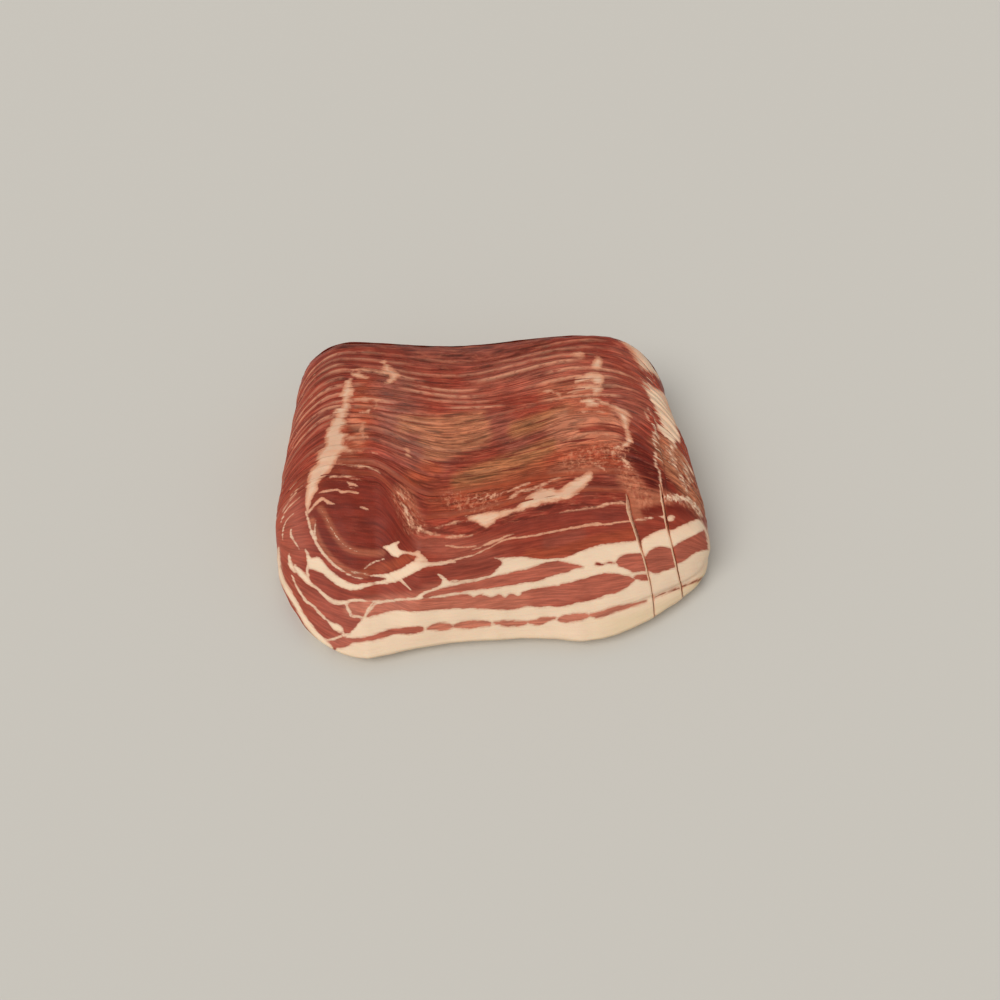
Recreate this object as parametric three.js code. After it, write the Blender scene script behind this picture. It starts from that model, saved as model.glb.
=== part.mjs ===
// Smoked pork belly, cut into thin slices that still lie together in the shape of the whole.
//
// The pile leans back: the front slice shows its whole cut face, and of each slice behind it
// the top edge shows. The last piece is the uncut end, which the leaning slices rest on.
// Units are millimetres. +X runs along the slices, +Y from front to back, +Z up, and the
// origin is under the middle of the pile. A cut surface has a number, here called kappa:
// slice k lies between surface k and surface k + 1.
import * as THREE from 'three';

// Driving dimensions
const SLICES = 17;
const GAP = 0.3;                      // free space between neighbouring slices
const FINE_GAP = 1.2;                 // the same, where fine rows of faces meet coarse ones
const LEFT = { end: -112.5, inset: 2 };
const RIGHT = { end: 115.5, inset: 14, from: 2, power: 1.9 };
const MIDDLE = { x: 1.5, y: -2.05 };  // middle of the pile before it is centred
const FRONT_LINE = { right: -82.4, left: -94.2, from: 30, over: 91, power: 2.5 };
const FRONT_BULGE = { x: 46, depth: 1.7, width: 9 };
// Top edges of the cuts seen from above, at two places along the slices: where the first
// cut's edge lies there, the step to the next one, and how much each step grows on the last.
// Between them the edges dip forward, the first one most and most steeply.
const TOP_LEFT = { x: -70, first: -12, step: 2.6, growth: 0.108 };
const DIP = { depth: 34, fade: 3.6, from: -70, to: -24, firstFrom: -60, firstTo: -34, settled: 4 };
const TOP_RIGHT = { x: 60, first: -23, step: 4.6, growth: 0.054 };
const NOSE = { depth: 5, from: 0, over: 45, fade: 0.35 };  // first cut's edge, at the right
const SWAY = { depth: 8, last: 10, from: -25, over: 70, backFrom: 62, backOver: 30 };
const FOOT_GROWTH = 0.0039;           // how much each cut's step at the foot grows on the last
const LAST_CUT_FOOT = 28;             // last cut, at the height of the front roll
const PRESSED = { share: 0.12, until: 3, from: 62, over: 24 };  // thinner slices, front right
const EDGE_HEIGHT = 42;               // height of the front face's top edge
const CROWN = { height: 50, reached: 9, dropFrom: 14, drop: 0.9 };
const RIPPLE = { height: 0.6, length: 19, turn: 0.9 };
const SADDLE = { height: 2.4, low: -15, length: 127 };         // the back rises on both sides
const ROLL = { height: 8, tuck: 5.5, fade: 4.5 };  // rounded roll of fat along the front's foot
const BOW = 0.26;                     // fullness of the cut faces between foot and top edge
const LEFT_CORNER = { start: -58, width: 58, depth: 80 };
const RIGHT_CORNER = { start: 55, width: 60.5, depth: 36, power: 1.5 };
const RIGHT_END_ROUND = { start: 104, width: 11.5, depth: 10 };
const LEFT_SHOULDER = { width: 32, foot: 24 };
const RIGHT_SHOULDER = { width: 44, backWidth: 38, foot: 15 };
const FOOT_ROUND = { width: 14, lift: 9 };
const SHOULDER_POWER = 2.2;
const RIDGE = { height: 0.9, least: 0.6, varies: 0.8, from: 25, until: 66, fade: 10 };
const BACK_CORNER_SINK = 0.4;         // how far a slice's back corner lies below its front one
const CREASE = { depth: 2.2, height: 16.5, slope: -0.07, spread: 1.7, from: 48, over: 34, slices: 4 };
// The two front slices end short of the others, on lines that lean in towards the top.
const SHORT_ENDS = [{ foot: 84.5, top: 70, bend: 2.2 }, { foot: 101, top: 88, bend: 1.5 }];
const SHORT_END_LEAN_FROM = 40;
const SHORT_END_GAP = { width: 0.8, from: 50, over: 30 };
// Behind the second line the slices' tops step down, along its continuation to the back.
const STEP = { first: 2, last: 10, drop: 1.3, fade: 3, front: 91, back: 87, width: 1 };
// The uncut end's own back: how far it stands out, and how it rounds off at both ends.
const BACK = { line: 90, leftward: 5, leftFrom: 20, leftOver: 90 };
const BACK_CORNER = { left: { width: 34, depth: 22 }, right: { width: 40, depth: 30 } };
const BACK_ROUND = { widest: 0.55, under: 9, over: 1.5, rim: 3.6, rimWave: 2.1, rimFrom: 0.75, sink: 3.6 };

// Places where the meshes have columns and rows: columns in millimetres from the left end,
// along the middle, and as shares of the way from the step line to the right end; rows as
// shares of the height. A row just below the top and the top edge itself follow.
const LEFT_COLUMNS = [0, 1.6, 5, 11, 20, 32];
const MIDDLE_COLUMNS = [-70, -62, -54, -46, -38, -30, -22, -10, 5, 20, 36, 50, 60, 66, 71, 77];
const INNER_COLUMN = { at: 84.5, drift: -0.2 };
const RIGHT_COLUMNS = [0.25, 0.5, 0.72, 0.88, 0.97, 1];
const FRONT_ROWS = [0, 0.1, 0.19, 0.27, 0.33, 0.4, 0.65];
const SLICE_ROWS = [0, 0.19, 0.5];
const END_ROWS = [0, 0.12, 0.28, 0.5, 0.72, 0.86];
const UNDER_TOP = 1.2;
const FINE_SLICES = 3;
const SHORT_END_CLEAR = 1.5;

const clamp01 = (t) => Math.min(1, Math.max(0, t));
const mix = (a, b, t) => a + (b - a) * t;
const bell = (t) => Math.exp(-t * t);

function smooth(t) {
  const c = clamp01(t);
  return c * c * (3 - 2 * c);
}

// A rounded quarter: 1 before the shoulder starts, 0 with a vertical tangent at its end.
const quarter = (t) => (1 - clamp01(t) ** SHOULDER_POWER) ** (1 / SHOULDER_POWER);

// A circular quarter: 0 at the start, 1 with a vertical tangent at the end.
const rounding = (t) => 1 - Math.sqrt(1 - clamp01(t) ** 2);

// A repeatable number from 0 to 1 for each slice.
function chance(k) {
  const value = Math.sin(k * 12.9898 + 78.233) * 43758.5453;
  return value - Math.floor(value);
}

// Share of the way from the first cut's foot to the last one's. At the front right the slices
// are pressed thin.
function footShare(kappa, x) {
  const pressed = PRESSED.share * bell(kappa / PRESSED.until) * smooth((x - PRESSED.from) / PRESSED.over);
  const count = kappa * (1 - pressed);
  return (count + FOOT_GROWTH * count ** 2) / (SLICES + FOOT_GROWTH * SLICES ** 2);
}

// Foremost line of the front face seen from above, with its two rounded corners.
function frontFoot(x) {
  const leftward = clamp01((FRONT_LINE.from - x) / FRONT_LINE.over) ** FRONT_LINE.power;
  return mix(FRONT_LINE.right, FRONT_LINE.left, leftward)
    - FRONT_BULGE.depth * bell((x - FRONT_BULGE.x) / FRONT_BULGE.width)
    + LEFT_CORNER.depth * rounding((LEFT_CORNER.start - x) / LEFT_CORNER.width)
    + RIGHT_CORNER.depth * clamp01((x - RIGHT_CORNER.start) / RIGHT_CORNER.width) ** RIGHT_CORNER.power
    + RIGHT_END_ROUND.depth * rounding((x - RIGHT_END_ROUND.start) / RIGHT_END_ROUND.width);
}

// Top edge of a cut seen from above. The edges dip forward to the left of the middle, most at
// the front, and the front ones swing back again further right.
function topEdge(kappa, x) {
  const along = (place) => place.first + place.step * kappa + place.growth * kappa ** 2;
  const settled = clamp01(kappa / DIP.settled);
  const from = mix(DIP.firstFrom, DIP.from, settled);
  const to = mix(DIP.firstTo, DIP.to, settled);
  const dip = DIP.depth * Math.exp(-kappa / DIP.fade) * smooth((x - from) / (to - from));
  const rise = smooth((x - DIP.to) / (TOP_RIGHT.x - DIP.to));
  const sway = SWAY.depth * Math.sin(Math.PI * clamp01((kappa - 1) / (SWAY.last - 1)))
    * smooth((x - SWAY.from) / SWAY.over) * (1 - smooth((x - SWAY.backFrom) / SWAY.backOver));
  const nose = NOSE.depth * Math.exp(-kappa / NOSE.fade) * smooth((x - NOSE.from) / NOSE.over);
  return mix(along(TOP_LEFT) - dip, along(TOP_RIGHT), rise) + sway - nose;
}

// The groove between the lowest fat and the rest, at the right of the front slices.
function crease(kappa, x, z) {
  const height = CREASE.height + CREASE.slope * (x - CREASE.from);
  const reach = smooth((x - CREASE.from) / CREASE.over) * Math.max(0, 1 - kappa / CREASE.slices);
  return CREASE.depth * reach * bell((z - height) / CREASE.spread);
}

// Where cut surface kappa lies at a place along the slice and a height.
function cutSurface(kappa, x, z) {
  const foot = mix(frontFoot(x), LAST_CUT_FOOT, footShare(kappa, x));
  const t = (z - ROLL.height) / (EDGE_HEIGHT - ROLL.height);
  const climb = (topEdge(kappa, x) - foot) * (t - BOW * t * (1 - t) * (1 - kappa / SLICES));
  const rolled = Math.exp(-kappa / ROLL.fade);
  const tuck = ROLL.tuck * clamp01(1 - z / ROLL.height) ** 2 * rolled;
  return foot + tuck + climb * (t < 0 ? 1 - rolled : 1) + crease(kappa, x, z);
}

// Height of the pile's crown along the way from front to back.
function crown(kappa) {
  const rise = 1 - (1 - clamp01(kappa / CROWN.reached)) ** 2;
  const drop = CROWN.drop * clamp01((kappa - CROWN.dropFrom) / (SLICES - CROWN.dropFrom)) ** 2;
  return mix(EDGE_HEIGHT, CROWN.height, rise) - drop;
}

const leftEnd = (kappa) => LEFT.end + LEFT.inset * (kappa / SLICES) ** 2;

function rightEnd(kappa) {
  const along = clamp01((kappa - RIGHT.from) / (SLICES - RIGHT.from));
  return RIGHT.end - RIGHT.inset * along ** RIGHT.power;
}

// The saddle along the slices: 1 on both sides, -1 in the middle.
const saddle = (x) => -Math.cos((2 * Math.PI * (x - SADDLE.low)) / SADDLE.length);

// Height of the top edge: the crown, with a rounded shoulder towards each end.
function topHeight(kappa, x) {
  const fromLeft = quarter((leftEnd(kappa) + LEFT_SHOULDER.width - x) / LEFT_SHOULDER.width);
  const rightWidth = mix(RIGHT_SHOULDER.width, RIGHT_SHOULDER.backWidth, kappa / SLICES);
  const fromRight = quarter((x - rightEnd(kappa) + rightWidth) / rightWidth);
  const height = crown(kappa) + RIPPLE.height * Math.sin(x / RIPPLE.length + kappa * RIPPLE.turn)
    + SADDLE.height * saddle(x) * (kappa / SLICES) ** 2;
  const leftSide = mix(LEFT_SHOULDER.foot, height, fromLeft);
  return leftSide - (height - RIGHT_SHOULDER.foot) * (1 - fromRight);
}

// Height of the underside, which lifts off the ground at both ends.
function footHeight(kappa, x) {
  const near = Math.min(x - leftEnd(kappa), rightEnd(kappa) - x);
  return FOOT_ROUND.lift * (1 - quarter((FOOT_ROUND.width - near) / FOOT_ROUND.width));
}

// Where the step line crosses a slice.
function stepLine(kappa) {
  return mix(STEP.front, STEP.back, clamp01((kappa - STEP.first) / (STEP.last - STEP.first)));
}

// Places along a cut where its mesh has columns: close together over the rounded ends and on
// both sides of the step line.
function columnPlaces(kappa) {
  const line = stepLine(kappa);
  return [
    ...LEFT_COLUMNS.map((inward) => leftEnd(kappa) + inward),
    ...MIDDLE_COLUMNS,
    INNER_COLUMN.at + INNER_COLUMN.drift * kappa,
    line - STEP.width / 2,
    line + STEP.width / 2,
    ...RIGHT_COLUMNS.map((share) => mix(line, rightEnd(kappa), share)),
  ];
}

// How far a column of a short slice leans in at a share of its height.
function shortEndLean(end, place, share) {
  if (!end) return 0;
  const near = smooth((place - SHORT_END_LEAN_FROM) / (end.foot - SHORT_END_LEAN_FROM));
  return (end.top - end.foot) * share ** end.bend * near;
}

// Corner points of a slice's face on cut kappa, as rows from the foot to the top. Only the
// top row has the slice's own lift, so neighbouring slices share all other points.
function facePoints(kappa, rows, surface, end, lift) {
  const full = columnPlaces(kappa);
  const places = end ? [...full.filter((x) => x < end.foot - SHORT_END_CLEAR), end.foot] : full;
  const point = (place, share, extra) => {
    const x = place + shortEndLean(end, place, share);
    const z = mix(footHeight(kappa, place), topHeight(kappa, x), share) + extra(x);
    return new THREE.Vector3(x, surface(x, z), z);
  };
  return [
    ...rows.map((share) => places.map((place) => point(place, share, () => 0))),
    places.map((place) => point(place, 1, () => -UNDER_TOP)),
    places.map((place) => point(place, 1, lift)),
  ];
}

// A closed slice: a front face, a back face and the rim between them.
function sliceGeometry(front, back) {
  const rows = front.length;
  const columns = front[0].length;
  const top = rows - 1;
  const last = columns - 1;
  const positions = [...front.flat(), ...back.flat()].flatMap((p) => [p.x, p.y, p.z]);
  const at = (face, r, c) => face * rows * columns + r * columns + c;
  const index = [];
  const quad = (a, b, c, d) => index.push(a, b, c, a, c, d);
  for (let r = 0; r < top; r += 1) {
    for (let c = 0; c < last; c += 1) {
      quad(at(0, r, c), at(0, r, c + 1), at(0, r + 1, c + 1), at(0, r + 1, c));
      quad(at(1, r, c), at(1, r + 1, c), at(1, r + 1, c + 1), at(1, r, c + 1));
    }
    quad(at(0, r, 0), at(0, r + 1, 0), at(1, r + 1, 0), at(1, r, 0));
    quad(at(0, r, last), at(1, r, last), at(1, r + 1, last), at(0, r + 1, last));
  }
  for (let c = 0; c < last; c += 1) {
    quad(at(0, 0, c), at(1, 0, c), at(1, 0, c + 1), at(0, 0, c + 1));
    quad(at(0, top, c), at(0, top, c + 1), at(1, top, c + 1), at(1, top, c));
  }
  const geometry = new THREE.BufferGeometry();
  geometry.setAttribute('position', new THREE.Float32BufferAttribute(positions, 3));
  geometry.setIndex(index);
  geometry.translate(-MIDDLE.x, -MIDDLE.y, 0);
  geometry.computeVertexNormals();
  return geometry;
}

// How far a slice's top stands proud: not on the front slice, and not at the right, where the
// slices lie pressed flush.
function ridge(k, x) {
  if (k === 0) return 0;
  const size = RIDGE.height * (RIDGE.least + RIDGE.varies * chance(k));
  return size * smooth((x - LEFT.end) / RIDGE.from) * (1 - smooth((x - RIDGE.until) / RIDGE.fade));
}

// How far a slice's top lies lower behind the second line.
function stepDown(k, x) {
  if (k < STEP.first || k > STEP.last || x < stepLine(k)) return 0;
  return STEP.drop * smooth((STEP.last + 1 - k) / STEP.fade);
}

// Free space behind a slice. Towards a short end, whose columns lean, it is wider, and so it
// is where a slice with fine rows meets one with coarse rows.
function gapBehind(k, x) {
  const rowsChange = k === FINE_SLICES - 1 || k === SLICES - 1;
  const base = rowsChange ? FINE_GAP : GAP;
  if (!SHORT_ENDS[k]) return base;
  return base + SHORT_END_GAP.width * smooth((x - SHORT_END_GAP.from) / SHORT_END_GAP.over);
}

function makeSlice(k) {
  const end = SHORT_ENDS[k];
  const rows = k < FINE_SLICES ? FRONT_ROWS : SLICE_ROWS;
  const frontCut = (x, z) => cutSurface(k, x, z);
  const backCut = (x, z) => cutSurface(k + 1, x, z) - gapBehind(k, x);
  const front = facePoints(k, rows, frontCut, end, (x) => ridge(k, x) - stepDown(k, x));
  const back = facePoints(k + 1, rows, backCut, end, (x) => -BACK_CORNER_SINK - stepDown(k, x));
  return sliceGeometry(front, back);
}

// The uncut end's back, the belly's own rounded side.
function backSide(x, z) {
  const { left, right } = BACK_CORNER;
  const line = BACK.line - BACK.leftward * smooth((BACK.leftFrom - x) / BACK.leftOver)
    - left.depth * (1 - quarter((leftEnd(SLICES) + left.width - x) / left.width))
    - right.depth * (1 - quarter((x - rightEnd(SLICES) + right.width) / right.width));
  const share = z / topHeight(SLICES, x);
  const bulge = share < BACK_ROUND.widest ? BACK_ROUND.under : BACK_ROUND.over;
  const tuck = bulge * (share / BACK_ROUND.widest - 1) ** 2;
  const rim = clamp01((share - BACK_ROUND.rimFrom) / (1 - BACK_ROUND.rimFrom));
  return line - tuck - (BACK_ROUND.rim - BACK_ROUND.rimWave * saddle(x)) * rim ** 2;
}

// The uncut end: its front is the last cut, its back is the belly's own side.
function makeEnd() {
  const cut = (x, z) => cutSurface(SLICES, x, z);
  const front = facePoints(SLICES, END_ROWS, cut, null, (x) => ridge(SLICES, x));
  const back = facePoints(SLICES, END_ROWS, backSide, null, () => -BACK_ROUND.sink);
  return sliceGeometry(front, back);
}

// Smoked meat, a little darker from slice to slice towards the back.
const meat = (k) => new THREE.MeshStandardMaterial({
  color: new THREE.Color().lerpColors(new THREE.Color(0xb0503c), new THREE.Color(0x8a3a30), k / SLICES),
  roughness: 0.42,
  metalness: 0,
});

const belly = new THREE.Group();
for (let k = 0; k < SLICES; k += 1) {
  const slice = new THREE.Mesh(makeSlice(k), meat(k));
  slice.name = `slice_${String(k + 1).padStart(2, '0')}`;
  belly.add(slice);
}
const endPiece = new THREE.Mesh(makeEnd(), meat(SLICES));
endPiece.name = 'uncut_end';
belly.add(endPiece);

export default belly;
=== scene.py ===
import math

import bmesh
import bpy
import numpy as np
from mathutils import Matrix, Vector, noise


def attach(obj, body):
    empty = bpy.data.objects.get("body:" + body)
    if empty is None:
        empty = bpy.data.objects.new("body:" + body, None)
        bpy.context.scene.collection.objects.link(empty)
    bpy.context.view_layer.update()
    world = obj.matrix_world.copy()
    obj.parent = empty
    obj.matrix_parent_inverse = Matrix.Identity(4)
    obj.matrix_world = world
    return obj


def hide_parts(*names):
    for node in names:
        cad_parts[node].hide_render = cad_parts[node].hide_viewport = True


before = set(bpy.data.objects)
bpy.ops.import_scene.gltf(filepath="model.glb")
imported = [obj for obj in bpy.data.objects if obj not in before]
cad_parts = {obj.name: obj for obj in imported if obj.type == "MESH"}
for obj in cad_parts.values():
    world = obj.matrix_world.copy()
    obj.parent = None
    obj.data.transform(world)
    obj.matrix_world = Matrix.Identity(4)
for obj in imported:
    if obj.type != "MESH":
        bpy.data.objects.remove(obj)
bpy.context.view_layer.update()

MM = 0.001

# Driving dimensions of the pile: as in the solids, but for the few that say otherwise
SLICES = 17
GAP = 0.14                         # the solids have 0.3
LEFT = {"end": -112.5, "inset": 2.0}
RIGHT = {"end": 115.5, "inset": 14.0, "start": 2.0, "power": 1.9}
MIDDLE = (1.5, -2.05)              # of the pile before it is centred
FRONT_LINE = {"right": -82.4, "left": -94.2, "start": 30.0, "over": 91.0, "power": 2.5}
FRONT_BULGE = {"x": 46.0, "depth": 1.7, "width": 9.0}
# Top edges of the cuts seen from above, at two places along the slices. Between them they dip.
TOP_LEFT = {"x": -70.0, "first": -12.0, "step": 2.6, "growth": 0.108}
DIP = {"depth": 34.0, "fade": 3.6, "start": -70.0, "end": -24.0, "first_start": -60.0,
       "first_end": -34.0, "settled": 4.0}
TOP_RIGHT = {"x": 60.0, "first": -23.0, "step": 4.6, "growth": 0.054}
NOSE = {"depth": 5.0, "start": 0.0, "over": 45.0, "fade": 0.35}    # first cut, at the right
SWAY = {"depth": 8.0, "last": 10.0, "start": -25.0, "over": 70.0, "back": 62.0, "back_over": 30.0}
FOOT_GROWTH = 0.0039               # how much each cut's step at the foot grows on the last
LAST_CUT_FOOT = 28.0               # last cut, at the height of the front roll
PRESSED = {"share": 0.12, "until": 3.0, "start": 62.0, "over": 24.0}   # thinner, front right
EDGE_HEIGHT = 42.0                 # height of the front face's top edge
CROWN = {"height": 50.0, "reached": 9.0, "drop_from": 14.0, "drop": 0.9}
RIPPLE = {"height": 0.6, "length": 19.0, "turn": 0.9}
SADDLE = {"height": 2.4, "low": -15.0, "length": 127.0}            # the back rises on both sides
ROLL = {"height": 8.0, "tuck": 5.5, "fade": 4.5}                   # rounded fat at the front's foot
BOW = 0.26                         # fullness of the cut faces between foot and top edge
LEFT_CORNER = {"start": -58.0, "width": 58.0, "depth": 80.0}
RIGHT_CORNER = {"start": 55.0, "width": 60.5, "depth": 36.0, "power": 1.5}
RIGHT_END_ROUND = {"start": 104.0, "width": 11.5, "depth": 10.0}
LEFT_SHOULDER = {"width": 32.0, "foot": 24.0}
RIGHT_SHOULDER = {"width": 44.0, "back_width": 38.0, "foot": 15.0}
FOOT_ROUND = {"width": 14.0, "lift": 9.0}
SHOULDER_POWER = 2.2
# How far each slice's top stands proud of the one in front (the solids have a height of 0.9), and
# where the tops lie flatter in the scene alone
RIDGE = {"height": 0.55, "least": 0.6, "varies": 0.8, "start": 25.0, "until": 66.0, "fade": 10.0}
RIDGE_FLAT = {"share": 0.65, "left": -62.0, "left_over": 20.0, "right": 30.0, "right_over": 25.0,
              "first": 2.0, "first_over": 2.0, "last": 10.0, "last_over": 3.0}
BACK_CORNER_SINK = 0.25            # the solids have 0.4
CREASE = {"depth": 2.2, "height": 16.5, "slope": -0.07, "spread": 1.7, "start": 48.0, "over": 34.0,
          "slices": 4.0}
# The two front slices end short of the others, on lines that lean in towards the top
SHORT_ENDS = ({"foot": 84.5, "top": 70.0, "bend": 2.2}, {"foot": 101.0, "top": 88.0, "bend": 1.5})
SHORT_END_LEAN_FROM = 40.0
SHORT_END_GAP = {"width": 0.1, "start": 50.0, "over": 30.0}       # the solids have 0.8
FLUSH = {"share": 0.97, "clear": 0.1, "over": 0.4, "until": 0.9}  # the solids aren't flush
# Behind the second line the slices' tops step down, along its continuation to the back
STEP = {"first": 2.0, "last": 10.0, "drop": 1.3, "fade": 3.0, "front": 91.0, "back": 87.0}
# The uncut end's own back: how far it stands out, and how it rounds off
BACK = {"line": 90.0, "leftward": 5.0, "left_from": 20.0, "left_over": 90.0}
LEFT_BACK_CORNER = {"width": 34.0, "depth": 22.0}
RIGHT_BACK_CORNER = {"width": 40.0, "depth": 30.0}
BACK_ROUND = {"widest": 0.55, "under": 9.0, "over": 1.5, "rim": 3.6, "rim_wave": 2.1, "rim_from": 0.75,
              "sink": 3.6}
UNDER_TOP = 1.2                    # a face starts to lift twice this far below its top

# Section of a slice's rim, and relief
RIM = {"corner": 0.35, "corner_width": 2.2, "corner_fade": 3.0, "back": 0.35, "back_width": 1.2,
       "end": 1.6, "end_power": 0.8}
SWELLS = {"high": 0.22, "length": 21.0, "fine_high": 0.12, "fine_length": 8.0}
PROUD_FAT = {"high": 0.14, "start": -0.4, "over": 0.8}
CRAGS = {"high": 0.75, "length": 2.8}

# Mesh fineness
FACE_COLUMNS = 320                 # of every slice, spaced evenly along its top edge
FRONT_ROWS = (118, 84, 84)         # of the front slices, whose faces show
HIDDEN_ROWS = 22
TOP_LAYERS = (10, 10, 12)          # across the rim of the front slices
HIDDEN_TOP_LAYERS = 12
END_LAYERS = 46
END_ROWS = 60
SHOWN_ROW_POWER = 1.15             # rows lie closer towards the top
HIDDEN_ROW_POWER = 1.8
SPACING_STEPS = 4001
SPACING_BY_FACE = 0.6              # how much the faces' bends count when columns are spaced
SEAM_FINENESS = {"more": 7.0, "before": 6.0, "after": 2.0, "over": 5.0}
NEAR_ONE = 0.999                   # a plate's own far edge
NEAR_ZERO = 0.001
BELOW_RIM = 0.97                   # share of a face's height

# Camera: the place that the belly is seen from
CAMERA = {"target": (0.0035, 0.01005, 0.0), "distance": 0.586, "elevation": 55.0, "lens": 37.44,
          "sensor": 36.0}
PICTURE_SIZE = 1000.0              # pixels
PIXEL = 0.56                       # millimetres that a pixel covers on the belly


def clamp01(t):
    return np.clip(t, 0.0, 1.0)


def mix(a, b, t):
    return a + (b - a) * t


def smooth(t):
    c = clamp01(t)
    return c * c * (3.0 - 2.0 * c)


def quarter(t):
    """A rounded quarter: 1 before the shoulder starts, 0 with a vertical tangent at its end."""
    return (1.0 - clamp01(t) ** SHOULDER_POWER) ** (1.0 / SHOULDER_POWER)


def rounding(t):
    return 1.0 - np.sqrt(1.0 - clamp01(t) ** 2)


def chance(k, salt=1.0):
    """A repeatable number from 0 to 1 for each slice. The salt tells one use from another."""
    value = math.sin(k * 12.9898 + salt * 78.233) * 43758.5453
    return value - math.floor(value)


# The cut surfaces, numbered kappa: slice k lies between surfaces k and k + 1

def foot_share(kappa, x):
    pressed = (PRESSED["share"] * math.exp(-(kappa / PRESSED["until"]) ** 2)
               * smooth((x - PRESSED["start"]) / PRESSED["over"]))
    count = kappa * (1.0 - pressed)
    return (count + FOOT_GROWTH * count ** 2) / (SLICES + FOOT_GROWTH * SLICES ** 2)


def front_foot(x):
    leftward = clamp01((FRONT_LINE["start"] - x) / FRONT_LINE["over"]) ** FRONT_LINE["power"]
    rightward = clamp01((x - RIGHT_CORNER["start"]) / RIGHT_CORNER["width"]) ** RIGHT_CORNER["power"]
    return (mix(FRONT_LINE["right"], FRONT_LINE["left"], leftward)
            - FRONT_BULGE["depth"] * np.exp(-((x - FRONT_BULGE["x"]) / FRONT_BULGE["width"]) ** 2)
            + LEFT_CORNER["depth"] * rounding((LEFT_CORNER["start"] - x) / LEFT_CORNER["width"])
            + RIGHT_CORNER["depth"] * rightward + RIGHT_END_ROUND["depth"]
            * rounding((x - RIGHT_END_ROUND["start"]) / RIGHT_END_ROUND["width"]))


def top_edge(kappa, x):
    def along(place):
        return place["first"] + place["step"] * kappa + place["growth"] * kappa ** 2
    settled = min(1.0, kappa / DIP["settled"])
    start = mix(DIP["first_start"], DIP["start"], settled)
    end = mix(DIP["first_end"], DIP["end"], settled)
    dip = DIP["depth"] * math.exp(-kappa / DIP["fade"]) * smooth((x - start) / (end - start))
    rise = smooth((x - DIP["end"]) / (TOP_RIGHT["x"] - DIP["end"]))
    sway = (SWAY["depth"] * np.sin(math.pi * clamp01((kappa - 1.0) / (SWAY["last"] - 1.0)))
            * smooth((x - SWAY["start"]) / SWAY["over"])
            * (1.0 - smooth((x - SWAY["back"]) / SWAY["back_over"])))
    nose = NOSE["depth"] * math.exp(-kappa / NOSE["fade"]) * smooth((x - NOSE["start"]) / NOSE["over"])
    return mix(along(TOP_LEFT) - dip, along(TOP_RIGHT), rise) + sway - nose


def crease(kappa, x, z):
    height = CREASE["height"] + CREASE["slope"] * (x - CREASE["start"])
    reach = smooth((x - CREASE["start"]) / CREASE["over"]) * max(0.0, 1.0 - kappa / CREASE["slices"])
    return CREASE["depth"] * reach * np.exp(-((z - height) / CREASE["spread"]) ** 2)


def cut_surface(kappa, x, z):
    foot = mix(front_foot(x), LAST_CUT_FOOT, foot_share(kappa, x))
    t = (z - ROLL["height"]) / (EDGE_HEIGHT - ROLL["height"])
    climb = (top_edge(kappa, x) - foot) * (t - BOW * t * (1.0 - t) * (1.0 - kappa / SLICES))
    rolled = math.exp(-kappa / ROLL["fade"])
    tuck = ROLL["tuck"] * clamp01(1.0 - z / ROLL["height"]) ** 2 * rolled
    return foot + tuck + climb * np.where(t < 0.0, 1.0 - rolled, 1.0) + crease(kappa, x, z)


def crown(kappa):
    rise = 1.0 - (1.0 - min(1.0, kappa / CROWN["reached"])) ** 2
    drop = CROWN["drop"] * clamp01((kappa - CROWN["drop_from"]) / (SLICES - CROWN["drop_from"])) ** 2
    return mix(EDGE_HEIGHT, CROWN["height"], rise) - drop


def left_end(kappa):
    return LEFT["end"] + LEFT["inset"] * (kappa / SLICES) ** 2


def right_end(kappa):
    along = clamp01((kappa - RIGHT["start"]) / (SLICES - RIGHT["start"]))
    return RIGHT["end"] - RIGHT["inset"] * along ** RIGHT["power"]


def saddle(x):
    return -np.cos(2.0 * math.pi * (x - SADDLE["low"]) / SADDLE["length"])


def top_height(kappa, x):
    from_left = quarter((left_end(kappa) + LEFT_SHOULDER["width"] - x) / LEFT_SHOULDER["width"])
    right_width = mix(RIGHT_SHOULDER["width"], RIGHT_SHOULDER["back_width"], kappa / SLICES)
    from_right = quarter((x - right_end(kappa) + right_width) / right_width)
    height = (crown(kappa) + RIPPLE["height"] * np.sin(x / RIPPLE["length"] + kappa * RIPPLE["turn"])
              + SADDLE["height"] * saddle(x) * (kappa / SLICES) ** 2)
    left_side = mix(LEFT_SHOULDER["foot"], height, from_left)
    return left_side - (height - RIGHT_SHOULDER["foot"]) * (1.0 - from_right)


def foot_height(kappa, x):
    near = np.minimum(x - left_end(kappa), right_end(kappa) - x)
    return FOOT_ROUND["lift"] * (1.0 - quarter((FOOT_ROUND["width"] - near) / FOOT_ROUND["width"]))


def step_line(kappa):
    along = clamp01((kappa - STEP["first"]) / (STEP["last"] - STEP["first"]))
    return mix(STEP["front"], STEP["back"], along)


def ridge(k, x):
    """How far a slice's top stands proud of the slice in front."""
    if k == 0:
        return 0.0 * x
    size = RIDGE["height"] * (RIDGE["least"] + RIDGE["varies"] * chance(k))
    flat = (smooth((x - RIDGE_FLAT["left"]) / RIDGE_FLAT["left_over"])
            * (1.0 - smooth((x - RIDGE_FLAT["right"]) / RIDGE_FLAT["right_over"]))
            * smooth((k - RIDGE_FLAT["first"]) / RIDGE_FLAT["first_over"])
            * (1.0 - smooth((k - RIDGE_FLAT["last"]) / RIDGE_FLAT["last_over"])))
    return (size * (1.0 - RIDGE_FLAT["share"] * flat) * smooth((x - LEFT["end"]) / RIDGE["start"])
            * (1.0 - smooth((x - RIDGE["until"]) / RIDGE["fade"])))


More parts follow.
